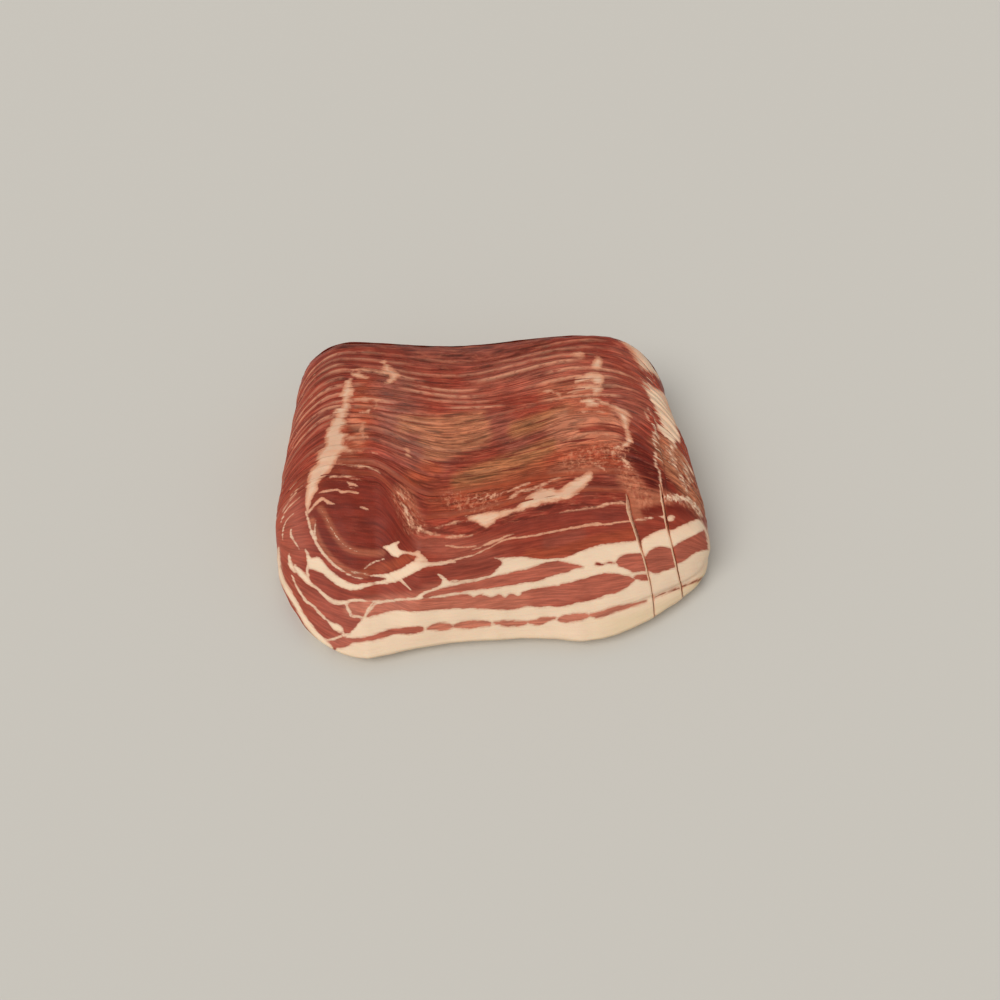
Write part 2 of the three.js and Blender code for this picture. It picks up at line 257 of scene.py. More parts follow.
def step_down(k, x):
    """How far a slice's top drops at the step towards the right end."""
    if k < STEP["first"] or k > STEP["last"]:
        return 0.0 * x
    depth = STEP["drop"] * smooth((STEP["last"] + 1.0 - k) / STEP["fade"])
    return depth * smooth(x - step_line(k) + 0.5)


def gap_behind(k, x):
    if k >= len(SHORT_ENDS):
        return GAP
    return GAP + SHORT_END_GAP["width"] * smooth((x - SHORT_END_GAP["start"]) / SHORT_END_GAP["over"])


def back_side(x, z):
    """The uncut end's back, the belly's own rounded side."""
    left, right = LEFT_BACK_CORNER, RIGHT_BACK_CORNER
    past_left = (left_end(SLICES) + left["width"] - x) / left["width"]
    past_right = (x - right_end(SLICES) + right["width"]) / right["width"]
    line = (BACK["line"] - BACK["leftward"] * smooth((BACK["left_from"] - x) / BACK["left_over"])
            - left["depth"] * (1.0 - quarter(past_left)) - right["depth"] * (1.0 - quarter(past_right)))
    share = z / top_height(SLICES, x)
    bulge = np.where(share < BACK_ROUND["widest"], BACK_ROUND["under"], BACK_ROUND["over"])
    rim = clamp01((share - BACK_ROUND["rim_from"]) / (1.0 - BACK_ROUND["rim_from"]))
    return (line - bulge * (share / BACK_ROUND["widest"] - 1.0) ** 2
            - (BACK_ROUND["rim"] - BACK_ROUND["rim_wave"] * saddle(x)) * rim ** 2)


# Plates: closed meshes in plain coordinates, bent to their place afterwards

def flat_plate(columns, rows, layers):
    """A closed plate from 0 to 1 each way: x along the slice, y up it, z through it."""
    plate = bmesh.new()
    bmesh.ops.create_grid(plate, x_segments=columns, y_segments=rows, size=0.5)
    bmesh.ops.translate(plate, verts=plate.verts, vec=(0.5, 0.5, 0.0))
    grown = bmesh.ops.extrude_face_region(plate, geom=plate.faces[:], use_keep_orig=True)
    far = [part for part in grown["geom"] if isinstance(part, bmesh.types.BMVert)]
    bmesh.ops.translate(plate, verts=far, vec=(0.0, 0.0, 1.0))
    through = [edge for edge in plate.edges
               if abs(edge.verts[0].co.z - edge.verts[1].co.z) > 0.5]
    bmesh.ops.subdivide_edges(plate, edges=through, cuts=layers - 1, use_grid_fill=True)
    bmesh.ops.recalc_face_normals(plate, faces=plate.faces[:])
    return plate


def even_places(kappa, start, end, along, seam):
    """Places along a slice that lie evenly on its top edge and foot, and closer by a seam."""
    x = np.linspace(start, end, SPACING_STEPS)
    foot = mix(front_foot(x), LAST_CUT_FOOT, foot_share(kappa, x))
    spread = np.gradient(x) ** 2 + np.gradient(top_height(kappa, x)) ** 2
    spread += SPACING_BY_FACE * (np.gradient(foot) ** 2 + np.gradient(top_edge(kappa, x)) ** 2)
    if seam:
        over = SEAM_FINENESS["over"]
        closer = (smooth((x - seam["top"] + SEAM_FINENESS["before"]) / over)
                  * (1.0 - smooth((x - seam["foot"] - SEAM_FINENESS["after"]) / over)))
        spread *= 1.0 + SEAM_FINENESS["more"] * closer
    length = np.concatenate([[0.0], np.cumsum(np.sqrt(spread[1:]))])
    return np.interp(along, length / length[-1], x)


def lean_in(end, place, share):
    """How far a short end leans to the left on its way up."""
    if end is None:
        return 0.0 * place
    near = smooth((place - SHORT_END_LEAN_FROM) / (end["foot"] - SHORT_END_LEAN_FROM))
    return (end["top"] - end["foot"]) * share ** end["bend"] * near


def face_point(kappa, along, share, end, lift, surface, seam=None):
    """Points of a cut face, with the lift that only the last stretch below the top gets."""
    start = left_end(kappa)
    stop = end["foot"] if end else right_end(kappa)
    place = even_places(kappa, start, stop, along, seam)
    x = place + lean_in(end, place, share)
    low = foot_height(kappa, place)
    high = top_height(kappa, x)
    rising = smooth(1.0 - (1.0 - share) * (high - low) / (2.0 * UNDER_TOP))
    z = mix(low, high, share) + lift(x) * rising
    return np.stack([x, surface(x, z), z], axis=1)


def past_short_end(k, x, z):
    """How far points of slice k lie beyond the short end in front, and their share of the height."""
    end = SHORT_ENDS[k - 1]
    low, high = foot_height(k, x), top_height(k, x)
    share = clamp01((z - low) / np.maximum(high - low, 1.0))
    return x - end["foot"] - (end["top"] - end["foot"]) * share ** end["bend"], share


def flush(k, x, z):
    """How far slice k's face comes forward beyond a short end, up to the front face."""
    if k == 0 or k > len(SHORT_ENDS):
        return 0.0 * x
    past, share = past_short_end(k, x, z)
    depth = FLUSH["share"] * (cut_surface(k, x, z) - cut_surface(0, x, z))
    return (depth * smooth((past - FLUSH["clear"]) / FLUSH["over"])
            * (1.0 - smooth((share - FLUSH["until"]) / (1.0 - FLUSH["until"]))))


def slice_points(k, along, share):
    end = SHORT_ENDS[k] if k < len(SHORT_ENDS) else None
    seam = SHORT_ENDS[k - 1] if 0 < k <= len(SHORT_ENDS) else None
    front = face_point(k, along, share, end, lambda x: ridge(k, x) - step_down(k, x),
                       lambda x, z: cut_surface(k, x, z) - flush(k, x, z), seam)
    back = face_point(k + 1, along, share, end, lambda x: -BACK_CORNER_SINK - step_down(k, x),
                      lambda x, z: cut_surface(k + 1, x, z) - gap_behind(k, x), seam)
    return front, back


def end_points(along, share):
    front = face_point(SLICES, along, share, None, lambda x: ridge(SLICES, x),
                       lambda x, z: cut_surface(SLICES, x, z))
    back = face_point(SLICES, along, share, None, lambda x: 0.0 * x - BACK_ROUND["sink"], back_side)
    return front, back


# What shows: places on the belly as the camera sees them, in pixels

def camera_place():
    tilt = math.radians(CAMERA["elevation"])
    away = np.array([0.0, -math.cos(tilt), math.sin(tilt)])
    return (np.array(CAMERA["target"]) + away * CAMERA["distance"]) / MM, away


def picture_places(points):
    eye, away = camera_place()
    seen = points - eye
    upward = np.array([0.0, away[2], -away[1]])
    depth = seen @ -away
    focal = CAMERA["lens"] / CAMERA["sensor"] * PICTURE_SIZE
    u = PICTURE_SIZE / 2.0 + focal * seen[:, 0] / depth
    v = PICTURE_SIZE / 2.0 - focal * (seen @ upward) / depth
    return np.stack([u, v], axis=1)


# Drawing tools: outlines and strokes as depths in pixels, positive inside

FAR = -30.0                        # the depth of a place that is far outside every shape
DRAWN_MARGIN = 6.0                 # how far around a shape its depth is worked out
CURVE_STEPS = 5


def curved(points, closed):
    """A smooth line through given points."""
    p = np.array(points, dtype=float)
    count = len(p)
    out = []
    stretches = count if closed else count - 1
    for i in range(stretches):
        if closed:
            a, b, c, d = p[i - 1], p[i], p[(i + 1) % count], p[(i + 2) % count]
        else:
            a, b, c, d = p[max(i - 1, 0)], p[i], p[i + 1], p[min(i + 2, count - 1)]
        for t in np.arange(CURVE_STEPS) / CURVE_STEPS:
            out.append(0.5 * (2 * b + (c - a) * t + (2 * a - 5 * b + 4 * c - d) * t ** 2
                              + (3 * b - a - 3 * c + d) * t ** 3))
    if not closed:
        out.append(p[-1])
    return np.array(out)


def near_box(places, line, margin):
    low = line.min(axis=0) - margin
    high = line.max(axis=0) + margin
    return np.nonzero(np.all((places >= low) & (places <= high), axis=1))[0]


def line_distance(places, line):
    """Distance to a line and the share of the way along it, for each place."""
    best = np.full(len(places), 1e9)
    share = np.zeros(len(places))
    count = len(line) - 1
    for i in range(count):
        a, b = line[i], line[i + 1]
        way = b - a
        t = clamp01(((places - a) @ way) / max(way @ way, 1e-9))
        d = np.hypot(places[:, 0] - a[0] - way[0] * t, places[:, 1] - a[1] - way[1] * t)
        closer = d < best
        best[closer] = d[closer]
        share[closer] = (i + t[closer]) / count
    return best, share


def outline_depth(places, points):
    """Depth inside a closed outline, in pixels."""
    line = curved(points, closed=True)
    depth = np.full(len(places), FAR)
    close = near_box(places, line, DRAWN_MARGIN)
    if len(close) == 0:
        return depth
    ring = np.vstack([line, line[:1]])
    inside = np.zeros(len(close), dtype=bool)
    x, y = places[close, 0], places[close, 1]
    for a, b in zip(ring[:-1], ring[1:]):
        if a[1] != b[1]:
            crosses = (y < a[1]) != (y < b[1])
            inside ^= crosses & (x < a[0] + (y - a[1]) * (b[0] - a[0]) / (b[1] - a[1]))
    distance, _ = line_distance(places[close], ring)
    depth[close] = np.where(inside, distance, -distance)
    return depth


def stroke_depth(places, points, widths):
    """Depth inside a stroke, in pixels. Widths are half widths, spread along the stroke."""
    line = curved(points, closed=False)
    depth = np.full(len(places), FAR)
    close = near_box(places, line, max(widths) + DRAWN_MARGIN)
    if len(close) == 0:
        return depth
    distance, share = line_distance(places[close], line)
    half = np.interp(share, np.linspace(0.0, 1.0, len(widths)), widths)
    depth[close] = half - distance
    return depth


# The marbling, as drawn shapes. Places are pixels of the camera's picture.
# Each row: what it is made of, what it is, its half widths (none for an outline), its points.

FACE_MARBLING = (
    ("fat", "belly fat", None,
     ((350, 633), (358, 624), (366, 614), (373, 604), (383, 600.5), (400, 598.5), (415, 597.5),
      (421, 593), (430, 589.5), (438, 586.5), (444, 583), (456, 582.5), (475, 579.5), (486, 577.5),
      (493, 573), (499, 567), (502, 561.5), (494, 558), (506, 557.5), (520, 556.5), (532, 558),
      (546, 559), (560, 558), (571, 555.5), (581, 551), (592, 547), (604, 544), (618, 542.5),
      (632, 541), (646, 539), (662, 537), (668, 600), (668, 690), (500, 700), (330, 700),
      (318, 660), (334, 651), (342, 641))),
    ("lean", "wide streak", None,
     ((367, 617), (373, 608), (379, 604), (390, 602), (402, 600.5), (416, 600), (428, 598.5),
      (441, 597.5), (455, 595.5), (468, 594.5), (474, 597), (481, 594.5), (491, 597), (499, 594.5),
      (505, 597.5), (510, 594), (519, 596), (523, 592), (533, 589), (547, 587), (558, 585.5),
      (562, 583.5), (572, 582.5), (576, 580.5), (583, 579), (592, 576), (603, 574), (614, 573.5),
      (623, 575), (630, 577), (634.5, 580), (631, 584), (625, 588.5), (615, 593), (606, 595),
      (600, 598), (588, 601), (577, 602.5), (569, 605), (558, 606.5), (548, 606), (540, 607),
      (528, 606), (512, 609.5), (497, 609), (480, 608.5), (462, 608), (441, 609.5), (424, 610.5),
      (410, 611.5), (399, 610), (386, 612))),
    ("lean", "upper streak", None,
     ((424, 595), (432, 591.5), (440, 589), (452, 586), (466, 583.5), (480, 580.5), (494, 577),
      (507, 573.5), (520, 570.5), (530, 568), (538, 565.5), (547, 562.5), (556, 561.2), (565, 562),
      (574, 564.5), (584, 567.2), (574, 568.8), (566, 572.5), (556, 574.5), (547, 577.5),
      (536, 581.5), (524, 582.5), (510, 585.5), (495, 587.5), (478, 589.5), (460, 592), (445, 594),
      (433, 596.5), (424, 598))),
    ("lean", "low streak, left", None,
     ((328, 641), (334, 638.8), (344, 638.2), (356, 638), (368, 637), (376, 634.5), (386, 630.5),
      (396, 628.5), (409, 627.5), (421, 626.5), (424, 629), (420, 632), (411, 634), (396, 633.5),
      (389, 635.5), (382, 638.5), (371, 640.5), (360, 641.5), (352, 643.5), (346, 647), (339, 648),
      (333, 645.5))),
    ("lean", "low streak 2", (0.5, 2.8, 3.6, 3.4, 1.4),
     ((427, 628.5), (436, 627), (444, 626.5), (452, 626.5))),
    ("lean", "low streak 3", (1.2, 3.2, 3.6, 3.2, 1.6),
     ((454, 625.8), (465, 625), (478, 624), (490, 623.6))),
    ("lean", "low streak 4", (0.8, 2.4, 2.8, 2.6, 1.2),
     ((494, 622.6), (505, 623.2), (516, 623.6), (526, 622.6))),
    ("lean", "low streak 5", (0.8, 2.6, 3.4, 1.8, 1.0),
     ((528, 622), (537, 622), (546, 619.5), (555, 618.2))),
    ("lean", "low streak 6", (1.4, 3.6, 3.8, 3.4, 1.8),
     ((559, 619.6), (567, 618.6), (578, 617.2), (587, 616))),
    ("lean", "low streak 7", (1.4, 3.0, 3.0, 2.6, 1.6, 0.8),
     ((591, 615.2), (600, 614.5), (614, 609.5), (628, 606), (646, 601))),
    ("lean", "dots", (0.6, 1.2, 0.7, 0.5, 1.0, 0.4),
     ((596, 563.5), (602, 564.5), (609, 563), (615, 563.5))),
    ("lean", "island", None,
     ((616, 562.5), (620, 557), (626, 554), (634, 553.3), (642, 553.3), (648, 554), (650, 562),
      (651, 570.5), (643, 571.3), (633, 571.8), (626, 568.5), (620, 566.5))),
    ("lean", "small island", None,
     ((633.5, 578), (638, 574.6), (645, 574.3), (651, 576), (651, 579.5), (643, 580.5))),
    ("fat", "rim fat, left", (0.8, 2.0, 2.8, 3.0, 2.8, 3.0, 3.0, 3.2),
     ((278, 548), (279, 562), (282, 576), (288, 590), (296, 605), (306, 621), (317, 635), (330, 648))),
    ("lean", "rim streak", (0.4, 0.8, 0.9, 0.8, 0.5),
     ((281, 566), (288, 583), (299, 602), (310, 619), (320, 631))),
    ("fat", "left line", (0.5, 1.1, 1.2, 1.5, 1.0, 1.4),
     ((292, 575), (296, 585), (302, 595), (306.5, 601.5), (312, 605), (318, 611), (325, 619))),
    ("fat", "left patch", None,
     ((325, 618), (331, 621.5), (338, 624), (343.5, 628), (343.5, 632), (338, 632), (331, 627))),
    ("fat", "panel foot line", (0.7, 1.3, 1.1, 1.6),
     ((313, 630), (320, 636), (327, 640), (335, 638.5), (343, 635.5), (352, 634))),
    ("fat", "panel corner", (1.2, 0.9), ((343, 636), (344, 631))),
    ("fat", "panel top line", (1.4, 3.0, 3.0, 1.4, 1.4, 2.0, 2.4, 2.0, 1.4, 1.0, 0.6),
     ((295, 566), (299, 571), (305, 578), (311, 584), (318, 589), (324, 595), (332, 601), (340, 603),
      (347, 602), (355, 600), (366, 600.8), (380, 601))),
    ("fat", "panel side", (0.7, 1.0, 1.4, 1.1), ((305, 549), (309.5, 559), (307, 570), (309, 580))),
    ("fat", "ring", (1.3, 1.6, 1.4, 1.2, 1.5, 1.2),
     ((346, 604), (349, 611), (352, 616), (359, 616.5), (364, 617.5), (368, 610), (373, 603))),
    ("fat", "broad band", None,
     ((306, 552), (311, 558), (318, 556.5), (323, 560.5), (327, 566), (333, 572), (340, 577.5),
      (348, 582), (357, 584), (367, 583), (377, 581.8), (386, 579), (380, 577.5), (370, 576.5),
      (372, 575), (386, 573.5), (395, 571), (402, 568), (408, 564), (415, 560.5), (424, 561.5),
      (432, 562.5), (446, 561.3), (455, 560.5), (455, 562.5), (441, 565.3), (428, 566.8),
      (419, 570.5), (411, 574.5), (404, 578), (398, 581.5), (386, 583.8), (374, 585.3), (364, 588),
      (356, 590.3), (347, 589.5), (338, 586), (330, 580), (322, 573.5), (314, 570), (308, 567))),
    ("fat", "spike", (1.9, 1.3, 0.9, 0.5), ((399, 577), (403, 582), (407, 586), (410.5, 590))),
    ("fat", "patch", None,
     ((383, 546.5), (389, 545), (394, 542.5), (399.5, 541.8), (397, 545.5), (400, 549.5), (406, 551),
      (413, 552), (419, 551), (423, 555), (428, 560.5), (422, 563), (414, 561.5), (416.5, 556.5),
      (411, 555), (403, 554), (398, 557.5), (392, 555.5), (388, 551.5))),
    ("fat", "fork", None,
     ((436, 572.5), (441, 575), (446, 578.5), (452, 581.5), (464, 582), (458, 585), (449, 586),
      (442, 587.5), (437, 588.5), (441, 584), (442, 580), (438, 575.5))),
    ("fat", "lens line", (0.8, 0.9, 1.0, 1.0), ((452, 580.5), (463, 581), (476, 579.5), (487, 577))),
    ("fat", "outer arc", (0.9, 1.3, 1.6, 1.4, 1.2, 0.9, 0.6),
     ((306, 512), (309, 522), (312, 533), (317, 544), (323, 553), (331, 562), (341, 570), (352, 576),
      (363, 579))),
    ("fat", "arc branch", (0.9, 0.8, 0.3), ((316, 541), (315, 530), (316, 520))),
    ("fat", "long seam", (0.5, 0.8, 0.7, 0.4, 0.9, 1.0, 1.0, 1.1, 0.9, 0.8, 0.9),
     ((428, 563.3), (446, 561.3), (462, 558), (476, 554), (487, 549), (497, 543.5), (507, 539),
      (524, 537), (546, 533), (560, 530.3), (573, 528), (590, 525.3), (606, 524.2), (622, 522),
      (640, 519.5))),
    ("fat", "seam spot", (0.5, 1.2, 0.5), ((566, 529), (571, 527.6), (576, 527.6))),
    ("fat", "seam thread", (0.4, 0.9, 0.5), ((584, 524.5), (598, 523), (605, 525.5))),
    ("fat", "knob line", (1.1, 1.4, 0.8, 0.9, 1.3, 0.8),
     ((411, 525), (418, 529), (425, 531.5), (434, 534), (443, 535.7), (453, 537), (464, 536.3),
      (472, 535.5))),
    ("fat", "knob spur", (1.2, 0.4), ((418, 529), (424, 526))),
    ("fat", "second line", (0.6, 1.0, 0.6, 0.5),
     ((446, 546), (456, 547), (466, 547.2), (476, 546.2))),
    ("fat", "third line", (0.4, 0.8, 0.7, 0.4), ((434, 528.5), (442, 526), (454, 523), (466, 521))),
    ("fat", "frayed streak", (0.4, 1.0, 1.4, 1.0, 0.4),
     ((472, 550), (484, 545.5), (494, 541.5), (505, 537), (514, 534))),
    ("fat", "first seam", (0.7, 0.9, 1.0, 1.0, 1.0, 0.9),
     ((629, 510), (634, 522), (641, 545), (646, 562), (650, 580), (652.5, 612))),
    ("fat", "left tick", (0.5, 1.1, 0.9, 0.4), ((291, 529), (291, 536), (295, 542), (299, 549))),
    ("fat", "left spot", (0.6, 1.8, 2.4, 1.0), ((289, 554), (290, 561), (292, 567), (296, 572))),
    ("fat", "left thread 1", (0.2, 0.6, 0.5, 0.3), ((281, 522), (286, 511), (293, 503), (300, 497))),
    ("fat", "left thread 2", (0.2, 0.6, 0.4), ((283, 512), (289, 501), (296, 493))),
    ("fat", "left thread 3", (0.2, 0.5, 0.3), ((286, 498), (291, 490), (297, 484))),
    ("fat", "left thread 4", (0.2, 0.5, 0.4, 0.2), ((283, 540), (283, 530), (287, 520), (294, 513))),
    ("fat", "eye line", (0.1, 0.3, 0.4, 0.3, 0.2, 0.1),
     ((321, 509), (326.5, 518.5), (333, 531), (342, 543), (353, 550), (364, 552), (377, 552))),
    ("fat", "eye foot line", (0.3, 0.8, 0.5), ((364, 569), (372, 563), (384, 559))),
    ("fat", "eye foot line 2", (0.3, 0.7, 0.6, 0.4), ((350, 572), (364, 574), (379, 577))),
)

TOP_MARBLING = (
    ("fat", "column", None,
     ((347, 378), (345, 384), (344, 390), (341, 396), (341, 400), (338, 408), (335, 412), (334, 418),
      (331, 424), (329, 430), (327, 436), (326, 441), (325, 448), (321, 452), (318, 457), (317, 463),
      (311, 469), (308, 476), (307, 484), (306, 492), (305, 500), (306, 508), (308, 512), (310, 506),
      (313, 497), (318, 490), (318, 484), (323, 478), (330, 472), (334, 466), (336, 463), (338, 458),
      (346, 452), (351, 450), (350, 446), (345, 443), (347, 438), (349, 434), (344, 431), (347, 427),
      (350, 424), (346, 419), (346, 414), (352, 411), (349, 407), (347, 402), (352, 396), (356, 391),
      (353, 386), (352, 380))),
    ("fat", "column bar 1", (0.5, 1.1, 1.0, 0.9),
     ((352, 399), (362, 398.5), (372, 399), (381, 399.5))),
    ("fat", "column bar 1, end", (0.4, 0.7, 0.5), ((376, 399), (373, 406), (370, 412))),
    ("fat", "column bar 2", (0.9, 0.9, 0.7, 0.7), ((347, 411), (356, 410), (364, 412), (371, 412.5))),
    ("fat", "column bar 3", (0.7, 0.6, 0.5), ((348, 423), (358, 424), (366, 423))),
    ("fat", "column bar 3, end", (0.8, 1.6, 1.5, 0.9),
     ((365, 423), (365, 428), (363, 433), (364, 437))),
    ("fat", "column bar 4", (1.6, 1.2, 1.0), ((345, 438), (357, 437.5), (368, 437))),
    ("fat", "column bar 5", (1.8, 0.7, 0.6, 0.4), ((345, 449), (354, 451), (366, 451), (380, 454))),
    ("fat", "long bar", (0.4, 0.8, 0.6, 0.9, 1.5, 1.0, 0.4),
     ((316, 469), (328, 465), (340, 464), (350, 465), (360, 466), (370, 467.5), (380, 473))),
    ("fat", "bar below", (0.5, 0.7, 0.4), ((330, 476.5), (344, 476), (360, 479.5))),
    ("fat", "back spot", None,
     ((380, 362), (385, 360), (388, 366), (392, 370), (397, 374), (394, 380), (388, 384), (384, 381),
      (387, 377), (381, 373), (376, 371), (382, 368))),
    ("fat", "back spot 2", None,
     ((349, 371), (355, 372), (360, 375), (367, 378), (357, 378.5), (350, 376))),
    ("fat", "back spot 3", (0.5, 0.8, 0.5, 0.6), ((350, 370), (362, 368.5), (374, 370), (386, 373))),
    ("fat", "tick", (0.6, 1.8, 1.5, 0.4), ((404, 449), (408, 450), (410, 455), (414, 458))),
    ("fat", "eye rim", (0.6, 1.3, 1.2, 1.4, 1.0, 0.8),
     ((319, 493), (328, 491), (336, 490), (342, 492), (350, 491.5), (358, 493))),
    ("fat", "eye rim spot", (0.5, 1.3, 1.2, 0.4), ((347, 482), (351, 484), (356, 485.5), (359, 487))),
    ("fat", "eye rim spot 2", (0.4, 0.8, 0.4), ((347, 487), (351, 488), (355, 487.5))),
    ("fat", "column foot", (1.4, 1.4, 1.9, 1.6, 0.8),
     ((309, 512), (315, 505), (322, 499), (328, 502), (334, 504))),
    ("fat", "eye spot", (0.4, 1.0, 0.3), ((360, 507), (364, 508), (369, 510))),
    ("fat", "knob rim", (0.8, 1.6, 2.4, 2.0, 1.6),
     ((399, 493), (404, 498), (406, 507), (408, 517), (413, 526))),
    ("fat", "spot far", None,
     ((568, 354), (574, 352), (582, 353), (586, 355), (580, 358), (572, 357))),
    ("fat", "spot 1", None,
     ((591, 360), (594, 357), (599, 359), (600, 365), (598, 369), (592, 369), (589, 366))),
    ("fat", "spot 2", None,
     ((575, 379), (582, 376), (588, 373), (596, 372), (602, 374), (606, 379), (604, 384), (598, 385),
      (592, 381), (585, 382), (578, 383))),
    ("fat", "spot 3", None,
     ((566, 393), (574, 389), (582, 386), (590, 385), (598, 385), (603, 388), (600, 392), (596, 395),
      (592, 396), (590, 391), (582, 391), (574, 393))),
    ("fat", "spot 4", None,
     ((582, 402), (588, 399), (594, 398), (598, 401), (595, 406), (589, 408), (584, 406))),
    ("fat", "knot", (0.5, 1.0, 1.6, 0.6), ((545, 391), (552, 391), (557, 394), (560, 398))),
    ("fat", "hook", (2.0, 2.2, 2.6, 3.4, 4.0, 3.6, 2.6, 3.2, 3.8, 3.0, 1.6),
     ((597, 402), (605, 404), (613, 407), (620, 411), (625, 417), (628, 424), (628, 430), (629, 437),
      (630, 442), (625, 446), (618, 447.5))),
    ("fat", "hook foot", (0.8, 1.4, 1.8, 1.0), ((612, 452), (620, 456), (626, 463), (630, 468))),
    ("fat", "zone line 1", (0.4, 0.7, 0.6, 0.3), ((560, 417), (580, 412), (600, 411.5), (616, 415))),
    ("fat", "zone line 2", (0.4, 0.7, 0.6, 0.3), ((566, 440), (584, 434), (602, 433), (618, 437))),
    ("fat", "wedge", None,
     ((466, 518), (475, 514), (487, 512), (500, 511), (512, 508), (520, 503), (527, 497), (534, 492),
      (543, 489), (552, 488), (558, 490), (566, 485), (574, 480), (581, 476), (590, 471), (593, 476),
      (586, 486), (575, 495), (564, 500), (552, 502), (541, 505), (528, 509), (514, 513), (503, 517),
      (496, 521), (490, 526), (484, 528), (477, 523), (470, 521))),
    ("fat", "line above wedge", (0.6, 1.2, 1.4, 1.1, 1.0, 0.8),
     ((498, 507), (508, 500), (518, 493), (531, 488.5), (545, 484), (560, 477))),
    ("fat", "frayed line", (0.4, 0.8, 0.5), ((470, 500), (490, 497), (512, 490), (530, 482))),
    ("fat", "frayed tick", (0.4, 1.2, 0.5), ((597, 466), (602, 468), (606, 472))),
    ("fat", "right end, far", None,
     ((612, 334), (626, 334), (640, 341), (648, 352), (655, 366), (661, 380), (655, 375), (647, 371),
      (639, 368), (635, 360), (630, 352), (622, 343))),
    ("fat", "right end", None,
     ((640, 381), (646, 384), (652, 388), (660, 392), (666, 398), (671, 408), (676, 420), (679, 431),
      (678, 440), (673, 449), (669, 442), (664, 434), (659, 426), (656, 416), (652, 404), (649, 394),
      (645, 388))),
    ("fat", "right thread", (0.4, 0.9, 0.9, 0.5), ((645, 408), (651, 420), (655, 434), (658, 448))),
    ("fat", "second seam", (0.8, 0.9, 0.9, 0.9), ((656, 452), (659, 468), (661, 485), (663.5, 500))),
    ("fat", "fringe line", (0.5, 1.2, 1.0, 0.5), ((666, 440), (674, 458), (682, 476), (690, 492))),
    ("fat", "fringe line 2", (0.5, 1.0, 0.5), ((680, 452), (688, 470), (694, 486))),
    ("fat", "fringe foot", (1.6, 2.6, 2.8, 2.6, 2.2, 1.0),
     ((663, 498), (670, 497.5), (680, 498), (689, 501), (697, 508), (702, 516))),
    ("fat", "first edge", (0.4, 0.9, 1.0, 0.9, 0.9, 0.8, 0.7),
     ((560, 513), (577, 510), (598, 506.5), (615, 503.3), (624, 503.5), (629, 510), (633, 520))),
)

SIDE_MARBLING = (
    ("fat", "second slice fat", None,
     ((640, 545), (648, 536), (655, 532), (662, 529.5), (672, 529), (676, 545), (684, 572), (690, 590),
      (700, 620), (640, 640), (630, 600))),
    ("lean", "second slice island", None,
     ((645, 558), (651, 550), (658, 547), (666, 547.3), (673, 550.5), (679, 558), (680, 565),
      (672, 568.5), (664, 570.5), (656, 573.3), (650, 571), (646, 565))),
    ("fat", "second slice line", (1.0, 1.3, 1.2, 1.1),
     ((633, 521.5), (640, 519.5), (648, 518.5), (656, 517), (666, 517.5))),
    ("fat", "second seam, low", (0.9, 1.0, 1.0, 1.0),
     ((663.5, 500), (667.5, 525), (674, 556), (682, 589))),
    # Painted shade along the crease, drawn as a thin streak of lean
    ("lean", "crease line", (0.3, 0.8, 0.7), ((654, 597.5), (668, 592), (683, 586.5))),
)

THIRD_MARBLING = (
    ("fat", "third slice fat", None,
     ((664, 534), (673, 529.5), (682, 525), (692, 521), (699, 519.5), (706, 528), (716, 560),
      (716, 620), (670, 640), (668, 580))),
    ("lean", "third slice island", None,
     ((671, 551), (678, 543.5), (688, 538.5), (700, 532.5), (712, 528), (714, 546), (705, 549.5),
      (695, 553), (687, 558.5), (680, 562.5), (674, 562))),
    ("fat", "third slice spot", None,
     ((667, 517), (670, 515.3), (674, 516), (675.5, 519), (671, 521), (668, 521))),
    ("fat", "third slice rim", (0.8, 1.4, 1.6, 1.4),
     ((701, 520), (705, 529), (708, 540), (710, 553))),
    ("fat", "fringe foot, low", (1.6, 2.6, 2.8, 2.6, 2.2, 1.0),
     ((663, 498), (670, 497.5), (680, 498), (689, 501), (697, 508), (702, 516))),
    # Painted shade along the crease's end, drawn as a thin streak of lean
    ("lean", "crease line, end", (0.7, 0.8, 0.3), ((682, 587), (696, 581), (709, 575))),
)


# Colours, as red, green and blue from 0 to 255
CREAM = (242, 213, 183)
RIND_FAT = (238, 218, 184)
# Yellower fat: painted shade below the crease
CREASE_SHADE_YELLOW = (228, 204, 158)
TAN_FAT = (228, 164, 130)
# Saturated pink: painted light on the short ends' narrow side, which lies in shade
NARROW_SIDE_PAINTED_LIGHT = (252, 196, 156)
RED = (152, 62, 44)
DARK = (126, 42, 27)
DARKEST = (96, 26, 16)
DEEP = (136, 55, 41)
PINK = (206, 128, 102)
ROSE = (182, 99, 78)
ORANGE = (166, 75, 46)
PEACH = (186, 108, 78)
GREY_PURPLE = (146, 82, 66)
TAN = (182, 116, 82)
OLIVE = (170, 109, 70)
PALE = (206, 130, 98)
# Dark brown: painted shade along the crease, and a darker band along the back top edge
DARK_BROWN = (116, 52, 36)


def linear(colour):
    share = np.array(colour) / 255.0
    return np.where(share <= 0.04045, share / 12.92, ((share + 0.055) / 1.055) ** 2.4)


